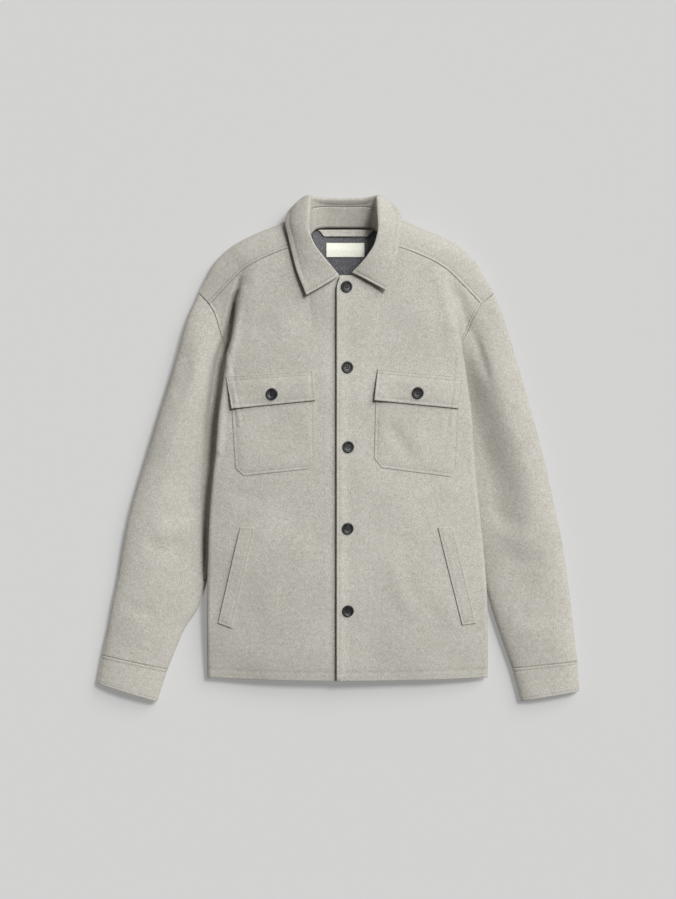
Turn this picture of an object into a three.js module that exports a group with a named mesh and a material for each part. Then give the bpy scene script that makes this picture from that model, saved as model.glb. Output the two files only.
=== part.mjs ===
// Men's wool shacket (overshirt), buttoned and laid flat on its back, at real size.
// Millimetres. +X is to the viewer's right, +Y towards the collar, +Z up from the surface it lies on.
// The origin is on that surface, under the middle of the garment.
// Reach is the distance from the garment's centre line, the same to the left and to the right.
import * as THREE from 'three';
import { mergeVertices } from 'three/addons/utils/BufferGeometryUtils.js';

// Sizes of the cloth
const WOOL = 2.4;            // wall of the brushed wool cloth
const COLLAR_WOOL = 2.2;     // wall of the collar and cuffs
const JERSEY = 1.1;          // wall of the lining seen in the neck
const LABEL_WALL = 1.0;
const SEAM_GAP = 0.3;        // space between neighbouring pieces at a seam
const YOKE_SIDE_GAP = 1.1;   // the same at the tight turn over the shoulder point
const BACK_INSET = 0.9;      // the same between the back and what is folded under beside it
const HIDDEN_SEAM_GAP = 0.8; // added where the armhole seam turns in under the body
const UNDERARM_GAP = 1.2;     // below the underarm point, where four seams meet
const COLLAR_GAP = 0.6;      // between the stand and the leaf, where the cloth turns
const CENTRE_LINE = 10.5;    // x of the garment's centre line
const GARMENT = { shoulder: 250.4, hem: -366, hemDip: 5, yokeSeamEnd: 232.6, underarm: 39.2, backYoke: 240 };
const OVERLAP = { upperEdge: -13.7, lowerEdge: -10, lift: 1.6, dip: 1.7 };

// Body, hem to chest: where the side folds over, and how high the puffed cloth lies
const BODY_ROWS = [
  { y: -366, left: 221, right: 229.5, crown: 31, crest: 19, fold: 13, sag: 0, tuck: 38 },
  { y: -340, left: 221.5, right: 229.5, crown: 37, crest: 24, fold: 17, sag: 0, tuck: 41 },
  { y: -300, left: 221.5, right: 229, crown: 44, crest: 30, fold: 23, sag: 0, tuck: 44 },
  { y: -230, left: 221, right: 227, crown: 53, crest: 37, fold: 30, sag: 0, tuck: 47 },
  { y: -154, left: 219, right: 221, crown: 58, crest: 41, fold: 33, sag: 0, tuck: 49 },
  { y: -111, left: 217.5, right: 216.5, crown: 59, crest: 42, fold: 34, sag: 0, tuck: 50 },
  { y: -50, left: 212.5, right: 210, crown: 60, crest: 43, fold: 35, sag: 0, tuck: 49 },
  { y: 0, left: 206.5, right: 206.5, crown: 60, crest: 44, fold: 35, sag: 0, tuck: 48 },
  { y: 22, left: 204.3, right: 204.8, crown: 59.5, crest: 44, fold: 35, sag: 0, tuck: 43 },
  { y: 39.2, left: 203, right: 203.5, crown: 59, crest: 44, fold: 35, sag: 0, tuck: 35 },
  { y: 101, left: 197, right: 197, crown: 58, crest: 44, fold: 34, sag: 0, tuck: 20 },
  { y: 154.4, left: 187, right: 187.5, crown: 56, crest: 43, fold: 33, sag: 0, tuck: 0 },
  { y: 180, left: 181, right: 181, crown: 55, crest: 42, fold: 31, sag: 2, tuck: 0 },
  { y: 212, left: 176.5, right: 177, crown: 53.5, crest: 39, fold: 30, sag: 3, tuck: 0 },
  { y: 232.6, left: 173.5, right: 173.5, crown: 52, crest: 36, fold: 30, sag: 2, tuck: 0 },
];

// Armhole seam from the underarm to the shoulder: over the front, and under the back
const ARMHOLE_FRONT = [
  { y: 39.2, left: 168, right: 168.5, height: 3.4 },
  { y: 45, left: 168.6, right: 169, height: 7 },
  { y: 72.8, left: 173, right: 173, height: 9 },
  { y: 101.6, left: 179.3, right: 177, height: 11.5 },
  { y: 154.4, left: 188.9, right: 182.5, height: 17 },
  { y: 168.8, left: 193.7, right: 186.3, height: 19.5 },
  { y: 188, left: 200.1, right: 195.9, height: 22 },
  { y: 205.6, left: 204.9, right: 203, height: 24 },
  { y: 222, left: 211.3, right: 212, height: 24.5 },
  { y: 232.6, left: 218.3, right: 218.3, height: 23 },
  { y: 250.4, left: 235.3, right: 239.5, height: 16 },
];
const ARMHOLE_BACK = [
  { y: 39.2, left: 168, right: 168.5, height: 3.4 },
  { y: 45, left: 168.6, right: 169, height: 0 },
  { y: 100, left: 172, right: 174, height: 0 },
  { y: 160, left: 180, right: 181, height: 0 },
  { y: 205, left: 193, right: 194, height: 0 },
  { y: 240, left: 214, right: 216, height: 0 },
  { y: 247, left: 226, right: 229, height: 4 },
  { y: 250.4, left: 235.3, right: 239.5, height: 16 },
];

// Neckline and yoke seam, from the centre front to the armhole.
// Along is the place on the front panel, across the place on the yoke.
const FRONT_NECK = [
  { along: 0.05, reach: 11, y: 277.5, height: 56 },
  { along: 0.1, reach: 30.5, y: 284, height: 55 },
  { along: 0.15, reach: 47, y: 300, height: 53.5 },
  { along: 0.18, reach: 57.5, y: 317, height: 51 },
];
const YOKE_SEAM = [
  { along: 0.2, across: 0.33, reach: 60.5, y: 328, height: 49 },
  { along: 0.36, across: 0.45, reach: 88.6, y: 321.7, height: 48.5 },
  { along: 0.54, across: 0.58, reach: 120, y: 310, height: 46 },
  { along: 0.68, across: 0.68, reach: 143.6, y: 299.2, height: 43.5 },
  { along: 0.75, across: 0.725, reach: 154.5, y: 293, height: 41 },
  { along: 0.82, across: 0.77, reach: 165, y: 286, height: 37 },
  { along: 0.88, across: 0.87, reach: 185, y: 267, height: 31 },
  { along: 0.94, across: 0.94, reach: 204.8, y: 246.4, height: 26 },
  { along: 1, across: 1, reach: 218.3, y: 232.6, height: 23 },
];
const BACK_NECK = [
  { across: 0, reach: 0, y: 356.8, height: 6.5 },
  { across: 0.08, reach: 25, y: 356.5, height: 7 },
  { across: 0.16, reach: 44, y: 354, height: 10 },
  { across: 0.22, reach: 55, y: 346, height: 20 },
  { across: 0.28, reach: 60.5, y: 337, height: 38 },
];
// Outline of the shoulders seen from above, and the seam at the bottom of the yoke behind
const SHOULDER = [
  { across: 0, reach: 0, y: 361, height: 3.4, backReach: 0 },
  { across: 0.08, reach: 25, y: 361, height: 3.6, backReach: 25 },
  { across: 0.16, reach: 46, y: 363, height: 6, backReach: 45 },
  { across: 0.22, reach: 62, y: 366, height: 9, backReach: 58 },
  { across: 0.33, reach: 84, y: 369, height: 13, backReach: 75 },
  { across: 0.45, reach: 118, y: 356.5, height: 15, backReach: 95 },
  { across: 0.58, reach: 149, y: 343.5, height: 16, backReach: 125 },
  { across: 0.68, reach: 174, y: 331, height: 16, backReach: 150 },
  { across: 0.77, reach: 193, y: 317, height: 16, backReach: 172 },
  { across: 0.87, reach: 211, y: 298, height: 16, backReach: 192 },
  { across: 0.94, reach: 225.5, y: 271, height: 16, backReach: 204 },
  { across: 1, reach: 235.3, y: 250.4, height: 16, backReach: 214 },
];

// Sleeves, armhole to cuff seam: outer and inner edge, height of the crown and of the folded edge.
// Press is how far the body weighs the inner side down.
const SLEEVE_ROWS = {
  left: [
    { at: 0, outer: 235.3, outerY: 250.4, inner: 168, innerY: 39.2, crown: 36, edge: 16, press: 0.8 },
    { at: 0.1, outer: 252.5, outerY: 210.4, inner: 174.5, innerY: 13.6, crown: 37, edge: 15, press: 0.8 },
    { at: 0.23, outer: 270.5, outerY: 148, inner: 184, innerY: -32.8, crown: 37, edge: 15, press: 0.73 },
    { at: 0.38, outer: 296, outerY: 66.4, inner: 197, innerY: -88.8, crown: 36, edge: 15, press: 0.62 },
    { at: 0.53, outer: 322.5, outerY: -21.6, inner: 208, innerY: -144.8, crown: 34, edge: 15, press: 0.45 },
    { at: 0.66, outer: 343, outerY: -92, inner: 219.5, innerY: -204, crown: 31, edge: 14, press: 0.25 },
    { at: 0.78, outer: 357.5, outerY: -160.8, inner: 234, innerY: -250.4, crown: 28, edge: 13, press: 0.1 },
    { at: 0.88, outer: 369.5, outerY: -232.8, inner: 258, innerY: -288.8, crown: 26, edge: 12, press: 0 },
    { at: 1, outer: 390.5, outerY: -330.4, inner: 284.9, innerY: -352.8, crown: 25, edge: 12, press: 0 },
  ],
  right: [
    { at: 0, outer: 239.5, outerY: 250.4, inner: 168.5, innerY: 39.2, crown: 36, edge: 16, press: 0.8 },
    { at: 0.1, outer: 254.5, outerY: 210.4, inner: 178, innerY: 13.6, crown: 37, edge: 15, press: 0.8 },
    { at: 0.23, outer: 274, outerY: 148, inner: 188, innerY: -32.8, crown: 37, edge: 15, press: 0.73 },
    { at: 0.38, outer: 297, outerY: 66.4, inner: 200.5, innerY: -88.8, crown: 36, edge: 15, press: 0.62 },
    { at: 0.53, outer: 321, outerY: -21.6, inner: 211.5, innerY: -144.8, crown: 34, edge: 15, press: 0.45 },
    { at: 0.66, outer: 336.5, outerY: -92, inner: 222.3, innerY: -204, crown: 31, edge: 14, press: 0.25 },
    { at: 0.78, outer: 350.5, outerY: -160.8, inner: 233.5, innerY: -248.8, crown: 28, edge: 13, press: 0.1 },
    { at: 0.88, outer: 360.5, outerY: -232.8, inner: 246, innerY: -288.8, crown: 26, edge: 12, press: 0 },
    { at: 1, outer: 373, outerY: -340, inner: 268.2, innerY: -351.2, crown: 25, edge: 12, press: 0 },
  ],
};
const CUFF_END = {
  left: { outer: 398.8, outerY: -375.2, inner: 301.7, innerY: -405, crown: 24, edge: 11.5 },
  right: { outer: 376.5, outerY: -388, inner: 281.8, innerY: -404, crown: 24, edge: 11.5 },
};

// Collar, centre back to front: top of the stand, roll, fall of the leaf and its free edge
const COLLAR_ROWS = [
  {
    at: 0, base: [0, 356, 9.6], joint: [0, 388, 22],
    roll: [0, 400, 29], fall: [0, 401, 18], edge: [0, 382, 3],
  },
  { at: 0.13, base: [25, 356, 10], joint: [27, 388.5, 22.5], roll: [28, 400.5, 30], fall: [30, 401.8, 19],
    edge: [32, 384, 4] },
  { at: 0.25, base: [43, 354.5, 13], joint: [48, 386, 31], roll: [52, 404, 42], fall: [60, 406, 31],
    edge: [69, 394, 17] },
  { at: 0.36, base: [53, 346, 24], joint: [54, 367, 47], roll: [54.5, 379, 62], fall: [76, 384, 50],
    edge: [90, 380, 32] },
  { at: 0.47, base: [57.5, 337, 41], joint: [56, 350, 56], roll: [55.5, 355, 69], fall: [77, 361, 61],
    edge: [93.5, 362, 45] },
  { at: 0.58, base: [57, 320, 52.5], joint: [52, 328, 62], roll: [50, 331, 72], fall: [70, 334, 67],
    edge: [89, 336, 56] },
  { at: 0.7, base: [48, 302, 55.5], joint: [40.5, 309, 65], roll: [37.5, 310, 72], fall: [60, 306, 69],
    edge: [84, 310, 61] },
  { at: 0.84, base: [32, 285.5, 57.5], joint: [26, 291, 64], roll: [23, 292, 69], fall: [46, 280, 67.5],
    edge: [76, 281, 64] },
  { at: 1, base: [13, 279, 59], joint: [12.5, 280, 61.5], roll: [11.5, 277, 65], fall: [33, 265, 66],
    edge: [63.5, 249.5, 66] },
];
// How far the two collar points lie off from where their row puts them, and the bow of the edge to them
const COLLAR_LEAN = { x: -2.5, from: 0.45, over: 0.3 };   // the back of the collar lies to one side
const POINT_SHIFT = { from: 0.8, left: [-2, -4.2, 0], right: [1.5, 3, 3] };

// Buttons: places down the front band and on the flaps
const BUTTON = { radius: 9.4, thick: 3.4, rim: 1.9, sunk: 1.1, seat: 0.35 };
const FRONT_BUTTONS = [
  { x: 12.4, y: 259 },
  { x: 13.9, y: 130.7 },
  { x: 15.2, y: 4 },
  { x: 14.4, y: -125.6 },
  { x: 14.9, y: -256.8 },
];
const FLAP_BUTTONS = { right: { x: 125.8, y: 90 }, left: { x: -105.3, y: 88.8 } };

// Chest pockets, flaps and hand pocket welts, each by its corners on the front panel
const FLAP = {
  left: [[-177.6, 116.6], [-39.7, 125.3], [-35, 78.2], [-169, 65]],
  right: [[62.2, 128], [200.3, 116], [191, 65], [56.3, 78.2]],
};
const POCKET = {
  left: { corners: [[-171.5, 90], [-36.8, 95], [-34.7, -29.6], [-162.9, -43.2]], chamfer: 13 },
  right: { corners: [[59.8, 95], [196.5, 90], [191.3, -45.1], [56.3, -27.4]], chamfer: 13 },
};
const WELT = {
  left: [[-156.5, -124], [-132, -124], [-169.9, -285.6], [-192.5, -277.6]],
  right: [[158, -124], [182.9, -124], [219.8, -277.6], [197.4, -280.8]],
};
const POCKET_WALL = 2;
const FLAP_WALL = 2.2;
const FLAP_SEAT = 0.6;
const WELT_WALL = 2;

// Neck: lining, hanger loop and the bare label
const NECK = { liningReach: 52, liningBack: 353.6, liningFront: 256, loopReach: 44, loopTop: 352.9 };
const LABEL = { x: 11, width: 61, top: 331.5, bottom: 308 };

// Helpers for smooth lines
const mix = (from, to, share) => from + (to - from) * share;
const clamp = (value, low, high) => Math.min(Math.max(value, low), high);
const ease = (value) => { const s = clamp(value, 0, 1); return s * s * (3 - 2 * s); };

// A smooth line through one column of a table, read at any place of another column.
// It never swings past the values in the table.
function column(table, along, name) {
  const rows = [...table].sort((a, b) => a[along] - b[along]);
  const last = rows.length - 1;
  const steep = (i) => (rows[i + 1][name] - rows[i][name]) / (rows[i + 1][along] - rows[i][along]);
  const slopes = rows.map((row, i) => {
    if (i === 0) return steep(0);
    if (i === last) return steep(last - 1);
    const before = steep(i - 1);
    const after = steep(i);
    return before * after <= 0 ? 0 : (2 * before * after) / (before + after);
  });
  return (place) => {
    let i = 0;
    while (i < last - 1 && place > rows[i + 1][along]) i += 1;
    const span = rows[i + 1][along] - rows[i][along];
    const s = clamp((place - rows[i][along]) / span, 0, 1);
    const s2 = s * s;
    const s3 = s2 * s;
    return (2 * s3 - 3 * s2 + 1) * rows[i][name] + (s3 - 2 * s2 + s) * span * slopes[i]
      + (3 * s2 - 2 * s3) * rows[i + 1][name] + (s3 - s2) * span * slopes[i + 1];
  };
}

// A smooth path through a few points, share 0 at the first and 1 at the last
function pathPoint(points, share) {
  const steps = points.length - 1;
  const place = clamp(share, 0, 1) * steps;
  const i = Math.min(Math.floor(place), steps - 1);
  const s = place - i;
  const a = points[Math.max(i - 1, 0)];
  const b = points[i];
  const c = points[i + 1];
  const d = points[Math.min(i + 2, steps)];
  return b.map((value, k) => 0.5 * (2 * value + (c[k] - a[k]) * s
    + (2 * a[k] - 5 * value + 4 * c[k] - d[k]) * s * s + (3 * value - a[k] - 3 * c[k] + d[k]) * s * s * s));
}

const place3 = (side, reach, y, z) => new THREE.Vector3(
  CENTRE_LINE + (side === 'left' ? -reach : reach), y, z);

// Body front, from its centre edge round the side fold to the side seam or armhole
const body = {};
const armhole = {};
for (const side of ['left', 'right']) {
  body[side] = column(BODY_ROWS, 'y', side);
  armhole[side] = {
    front: column(ARMHOLE_FRONT, 'y', side),
    back: column(ARMHOLE_BACK, 'y', side),
  };
}
for (const name of ['crown', 'crest', 'fold', 'sag', 'tuck']) body[name] = column(BODY_ROWS, 'y', name);
armhole.frontHeight = column(ARMHOLE_FRONT, 'y', 'height');
armhole.backHeight = column(ARMHOLE_BACK, 'y', 'height');

const tuckedReach = (side, y) => body[side](y) - body.tuck(y);
const seamReach = (side, y) => (y >= GARMENT.underarm ? armhole[side].front(y) : tuckedReach(side, y));
const OVER_UNDERARM = { y: 45, end: 5 };
const seamHeight = (y) => armhole.frontHeight(Math.max(y, OVER_UNDERARM.y))
  * ease((y - OVER_UNDERARM.end) / (OVER_UNDERARM.y - OVER_UNDERARM.end));

const WEDGE = { from: 175, over: 100 };
const sectionCache = new Map();
function frontSection(side, y) {
  const key = `${side}${y.toFixed(4)}`;
  if (sectionCache.has(key)) return sectionCache.get(key);
  const reach = body[side](y);
  const crown = body.crown(y);
  const crest = body.crest(y);
  const fold = body.fold(y);
  const sag = body.sag(y);
  const end = seamReach(side, y);
  const endHeight = seamHeight(y);
  const start = side === 'right' ? OVERLAP.upperEdge : OVERLAP.lowerEdge;
  // From here down the cloth turns in under the fold as a wedge that rests on the surface
  const wedge = ease((WEDGE.from - y) / WEDGE.over);
  const underReach = (above, below) => mix(reach, end, mix(above, below, wedge));
  const underHeight = (above, below) => mix(fold, endHeight, mix(above, below, wedge)) - sag;
  const knots = [
    { u: 0, reach: start, z: crown },
    { u: 0.2, reach: 0.22 * reach, z: mix(crown, crest, 0.04) },
    { u: 0.4, reach: 0.48 * reach, z: mix(crown, crest, 0.2) },
    { u: 0.58, reach: 0.73 * reach, z: mix(crown, crest, 0.55) },
    { u: 0.68, reach: reach - 13, z: crest },
    { u: 0.75, reach: reach - 3, z: mix(fold, crest, 0.7) },
    { u: 0.82, reach, z: fold },
    { u: 0.88, reach: underReach(0.24, 0.12), z: underHeight(0.5, 0.3) },
    { u: 0.94, reach: underReach(0.68, 0.56), z: underHeight(0.95, 0.55) },
    { u: 1, reach: end, z: endHeight },
  ];
  const section = { reach: column(knots, 'u', 'reach'), z: column(knots, 'u', 'z') };
  sectionCache.set(key, section);
  return section;
}

const TOP_OF_FRONT = {};
for (const side of ['left', 'right']) {
  const start = side === 'right' ? OVERLAP.upperEdge : OVERLAP.lowerEdge;
  const rows = [{ along: 0, reach: start, y: 277, height: 56.5 }, ...FRONT_NECK, ...YOKE_SEAM];
  TOP_OF_FRONT[side] = {
    reach: column(rows, 'along', 'reach'),
    y: column(rows, 'along', 'y'),
    height: column(rows, 'along', 'height'),
  };
}

// The deep fold on the left, from the chest down between body and sleeve: its sharp edge, and how wide
// and deep the hollow outside it is
const FOLD = [
  { y: 279, x: -154.4, wide: 5, deep: 0 },
  { y: 255, x: -157.6, wide: 7, deep: 4 },
  { y: 244, x: -161.6, wide: 8, deep: 6 },
  { y: 212, x: -166.2, wide: 10, deep: 10 },
  { y: 180, x: -170.4, wide: 13, deep: 13 },
  { y: 159, x: -175.8, wide: 16, deep: 15 },
  { y: 137, x: -181.1, wide: 18, deep: 14 },
  { y: 101, x: -186.4, wide: 19, deep: 11 },
  { y: 73, x: -189.6, wide: 20, deep: 9 },
  { y: 41, x: -192.8, wide: 20, deep: 8 },
  { y: -2, x: -196, wide: 18, deep: 8 },
  { y: -50, x: -202.1, wide: 15, deep: 8 },
  { y: -111, x: -206.9, wide: 12, deep: 7 },
  { y: -154, x: -208.3, wide: 11, deep: 6 },
  { y: -193, x: -210.4, wide: 9, deep: 3 },
  { y: -215, x: -211, wide: 8, deep: 0 },
];
const HOLLOW = { from: 2.5, steep: 3, flat: 4, share: 0.75, least: 6 };
const fold = { x: column(FOLD, 'y', 'x'), wide: column(FOLD, 'y', 'wide'), deep: column(FOLD, 'y', 'deep') };
function sinkIntoFold(point) {
  if (point.y > FOLD[0].y || point.y < FOLD[FOLD.length - 1].y) return point;
  const out = fold.x(point.y) - point.x;
  const wide = fold.wide(point.y) * HOLLOW.share;
  const drop = fold.deep(point.y) * ease((out - HOLLOW.from) / HOLLOW.steep)
    * Math.exp(-((Math.max(out - HOLLOW.flat, 0) / wide) ** 2));
  point.z -= Math.min(drop, Math.max(point.z - HOLLOW.least, 0));
  return point;
}

// The outer face of a front: u runs from the centre edge to the side, v from the top to the hem
const TOP_FADE = 0.3;
const TOP_FADE_HEIGHT = 0.22;
const CORNER = { top: 277, down: 20, round: 5, share: 0.06 };   // of the front band at the neck
const hemDip = (reach, v) => GARMENT.hemDip * Math.max(0, 1 - (reach / 220) ** 2) * v ** 3;
function frontPoint(side, u, v) {
  const y = mix(GARMENT.yokeSeamEnd, GARMENT.hem, v);
  const section = frontSection(side, y);
  const first = frontSection(side, GARMENT.yokeSeamEnd);
  const top = TOP_OF_FRONT[side];
  const fade = 1 - ease(v / TOP_FADE);
  let reach = section.reach(u) + (top.reach(u) - first.reach(u)) * fade;
  let z = section.z(u) + (top.height(u) - first.z(u)) * (1 - ease(v / TOP_FADE_HEIGHT));
  const height = y + (top.y(u) - GARMENT.yokeSeamEnd) * fade - hemDip(reach, v);
  if (side === 'right') {
    const corner = 1 - ease((CORNER.top - height) / CORNER.down);
    reach += CORNER.round * corner * (1 - ease(u / CORNER.share));
  }
  const x = side === 'left' ? -reach : reach;
  if (side === 'right') z += OVERLAP.lift * (1 - ease((x - 12) / 40));
  else z -= OVERLAP.dip * ease((x + 32) / 18);
  return sinkIntoFold(place3(side, reach, height, Math.max(z, 0)));
}

const normalAt = (point, u, v, flip) => {
  const step = 1e-3;
  const along = point(u + step, v).sub(point(u - step, v));
  const down = point(u, v + step).sub(point(u, v - step));
  return down.cross(along).multiplyScalar(flip).normalize();
};

// The place on a front panel above a given x and y, moved out by a given height
function onFront(side, x, y, out) {
  const point = (a, b) => frontPoint(side, a, b);
  const flip = side === 'left' ? -1 : 1;
  let u = clamp(Math.abs(x - CENTRE_LINE) / 250, 0.05, 0.7);
  let v = clamp((GARMENT.yokeSeamEnd - y) / (GARMENT.yokeSeamEnd - GARMENT.hem), 0.05, 0.95);
  for (let round = 0; round < 12; round += 1) {
    const here = point(u, v);
    const du = point(u + 1e-4, v).sub(here).multiplyScalar(1e4);
    const dv = point(u, v + 1e-4).sub(here).multiplyScalar(1e4);
    const det = du.x * dv.y - dv.x * du.y;
    const missX = x - here.x;
    const missY = y - here.y;
    u = clamp(u + clamp((missX * dv.y - missY * dv.x) / det, -0.1, 0.1), 0, 0.82);
    v = clamp(v + clamp((missY * du.x - missX * du.y) / det, -0.1, 0.1), 0, 1);
  }
  return point(u, v).addScaledVector(normalAt(point, u, v, flip), out);
}

// Solids from grids of points
function normalsOf(grid, ring, flip) {
  const rows = grid.length;
  const cols = grid[0].length;
  return grid.map((line, i) => line.map((point, j) => {
    const before = ring ? (j - 1 + cols) % cols : Math.max(j - 1, 0);
    const after = ring ? (j + 1) % cols : Math.min(j + 1, cols - 1);
    const along = grid[i][after].clone().sub(grid[i][before]);
    const down = grid[Math.min(i + 1, rows - 1)][j].clone().sub(grid[Math.max(i - 1, 0)][j]);
    return down.cross(along).multiplyScalar(flip).normalize();
  }));
}

function geometryFrom(points, triangles) {
  const geometry = new THREE.BufferGeometry();
  const numbers = points.flatMap((p) => [p.x, p.y, p.z]);
  geometry.setAttribute('position', new THREE.Float32BufferAttribute(numbers, 3));
  geometry.setIndex(triangles);
  const volume = triangles.reduce((sum, _, i) => {
    if (i % 3) return sum;
    const [a, b, c] = [points[triangles[i]], points[triangles[i + 1]], points[triangles[i + 2]]];
    return sum + a.dot(b.clone().cross(c));
  }, 0);
  if (volume < 0) {
    for (let i = 0; i < triangles.length; i += 3) {
      const first = triangles[i];
      triangles[i] = triangles[i + 1];
      triangles[i + 1] = first;
    }
    geometry.setIndex(triangles);
  }
  const merged = mergeVertices(geometry, 1e-4);
  merged.computeVertexNormals();
  return merged;
}

// A wall of cloth: the grid is its outer face, the wall goes in from it.
// A ring grid closes on itself along its rows.
const FLOOR_SHARE = 0.6;   // of a wall's thickness, its least height where it lies on the surface
function wall(grid, options) {
  const { thick, ring = false, flip = 1, flatFloor = true } = options;
  const normals = options.normals || normalsOf(grid, ring, flip);
  const rows = grid.length;
  const cols = grid[0].length;
  const inner = grid.map((line, i) => line.map((point, j) => {
    const moved = point.clone().addScaledVector(normals[i][j], -thick);
    if (flatFloor && point.z < 1e-6) moved.z = Math.max(moved.z, thick * FLOOR_SHARE);
    moved.z = Math.max(moved.z, 0);
    return moved;
  }));
  const points = [...grid.flat(), ...inner.flat()];
  const shift = rows * cols;
  const triangles = [];
  const id = (i, j) => i * cols + (j % cols);
  const quad = (a, b, c, d) => triangles.push(a, b, c, a, c, d);
  const lastCol = ring ? cols : cols - 1;
  for (let i = 0; i < rows - 1; i += 1) {
    for (let j = 0; j < lastCol; j += 1) {
      quad(id(i, j), id(i + 1, j), id(i + 1, j + 1), id(i, j + 1));
      quad(shift + id(i, j), shift + id(i, j + 1), shift + id(i + 1, j + 1), shift + id(i + 1, j));
    }
  }
  for (let j = 0; j < lastCol; j += 1) {
    quad(id(0, j), id(0, j + 1), shift + id(0, j + 1), shift + id(0, j));
    quad(id(rows - 1, j + 1), id(rows - 1, j), shift + id(rows - 1, j), shift + id(rows - 1, j + 1));
  }
  if (!ring) {
    for (let i = 0; i < rows - 1; i += 1) {
      quad(id(i + 1, 0), id(i, 0), shift + id(i, 0), shift + id(i + 1, 0));
      quad(id(i, cols - 1), id(i + 1, cols - 1), shift + id(i + 1, cols - 1), shift + id(i, cols - 1));
    }
  }
  return geometryFrom(points, triangles);
}

// Two pieces that meet at a seam go in from it the same way, so their walls lie side by side
function shareNormals(one, other) {
  one.forEach((normal, i) => {
    normal.add(other[i]).normalize();
    other[i].copy(normal);
  });
}

// Draws an edge row or column of a grid back by the seam gap
function drawBack(grid, edge, gap = SEAM_GAP) {
  const rows = grid.length;
  const cols = grid[0].length;
  const pull = (point, towards) => {
    const step = towards.clone().sub(point);
    point.addScaledVector(step.normalize(), gap);
  };
  if (edge === 'top') grid[0].forEach((p, j) => pull(p, grid[1][j]));
  if (edge === 'bottom') grid[rows - 1].forEach((p, j) => pull(p, grid[rows - 2][j]));
  if (edge === 'start') grid.forEach((line) => pull(line[0], line[1]));
  if (edge === 'end') grid.forEach((line) => pull(line[cols - 1], line[cols - 2]));
}

function spread(count, from = 0, to = 1) {
  return Array.from({ length: count + 1 }, (_, i) => mix(from, to, i / count));
}

// Cloth colours
const wool = { color: 0xc6c3bc, roughness: 0.95, metalness: 0 };
const jersey = { color: 0x5c5c5e, roughness: 0.95, metalness: 0 };
const woven = { color: 0xe4e4d8, roughness: 0.8, metalness: 0 };
const horn = { color: 0x3a3a3c, roughness: 0.45, metalness: 0 };

const shacket = new THREE.Group();
function piece(name, geometry, finish) {
  const mesh = new THREE.Mesh(geometry, new THREE.MeshStandardMaterial(finish));
  mesh.name = name;
  shacket.add(mesh);
}

// Shares of the way from the shoulder to the underarm, over the front and under the back
const YOKE_END_SHARE = (GARMENT.shoulder - GARMENT.yokeSeamEnd) / (GARMENT.shoulder - GARMENT.underarm);
const BACK_YOKE_SHARE = (GARMENT.shoulder - GARMENT.backYoke) / (GARMENT.shoulder - GARMENT.underarm);
const armholeY = (share) => mix(GARMENT.shoulder, GARMENT.underarm, share);
const OVER_SHARES = [
  0, 0.025, YOKE_END_SHARE, 0.16, 0.25, 0.35, 0.46, 0.57, 0.68, 0.79, 0.88, 0.95, 0.985, 1,
];
const UNDER_SHARES = [1, 0.975, 0.9, 0.75, 0.55, 0.35, 0.2, BACK_YOKE_SHARE, 0.015];

// Fronts
const FRONT_ALONG = [0, 0.05, 0.1, 0.15, 0.18, 0.2, 0.36, 0.54, 0.68, 0.75, 0.82, 0.88, 0.94, 1];
const frontDown = (y) => (GARMENT.yokeSeamEnd - y) / (GARMENT.yokeSeamEnd - GARMENT.hem);
const BELOW_UNDERARM = [25, 0, -40, -85, -130, -180, -230, -275, -310, -340, GARMENT.hem];
const BESIDE_ARMHOLE = OVER_SHARES.slice(2).map(armholeY);
const FRONT_DOWN = [...BESIDE_ARMHOLE, ...BELOW_UNDERARM].map(frontDown);
function layFront(side) {
  const grid = FRONT_DOWN.map((v) => FRONT_ALONG.map((u) => frontPoint(side, u, v)));
  return { grid, normals: normalsOf(grid, false, side === 'left' ? -1 : 1) };
}

// Yoke: over both shoulders, round the back of the neck and down to the seam behind
const yokeFront = {};
for (const name of ['reach', 'y', 'height']) {
  yokeFront[name] = column([...BACK_NECK, ...YOKE_SEAM], 'across', name);
}
const shoulder = {};
for (const name of ['reach', 'y', 'height', 'backReach']) {
  shoulder[name] = column(SHOULDER, 'across', name);
}
const SHOULDER_POINT = SHOULDER[SHOULDER.length - 1];
const YOKE_TUCK = { least: 14, share: 0.6 };   // how far the yoke stays round before it lies flat behind

function yokePoint(across, v) {
  const side = across < 0 ? 'left' : 'right';
  const c = Math.abs(across);
  const edgeShift = (armhole[side].front(GARMENT.shoulder) - SHOULDER_POINT.reach) * ease((c - 0.9) / 0.1);
  const front = [yokeFront.reach(c), yokeFront.y(c), yokeFront.height(c)];
  const out = [shoulder.reach(c) + edgeShift, shoulder.y(c), shoulder.height(c)];
  const back = [shoulder.backReach(c) + edgeShift * 0.5, GARMENT.backYoke, 0];
  const way = Math.hypot(back[0] - out[0], back[1] - out[1]);
  const between = (axis, distance) => mix(out[axis], back[axis], distance / way);
  const under = (distance, z) => [between(0, distance), between(1, distance), z];
  const tuck = Math.min(YOKE_TUCK.least, way * YOKE_TUCK.share);
  const knots = [
    { v: 0, p: front },
    { v: 0.22, p: [mix(front[0], out[0], 0.6), mix(front[1], out[1], 0.6), mix(out[2], front[2], 0.74)] },
    { v: 0.34, p: [mix(front[0], out[0], 0.92), mix(front[1], out[1], 0.92), mix(out[2], front[2], 0.36)] },
    { v: 0.42, p: out },
    { v: 0.5, p: under(tuck * 0.25, out[2] * 0.34) },
    { v: 0.58, p: under(tuck, 0) },
    { v: 1, p: back },
  ];
  const rows = knots.map(({ v: at, p }) => ({ at, reach: p[0], y: p[1], z: p[2] }));
  return place3(side, column(rows, 'at', 'reach')(v), column(rows, 'at', 'y')(v),
    Math.max(0, column(rows, 'at', 'z')(v)));
}

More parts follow.
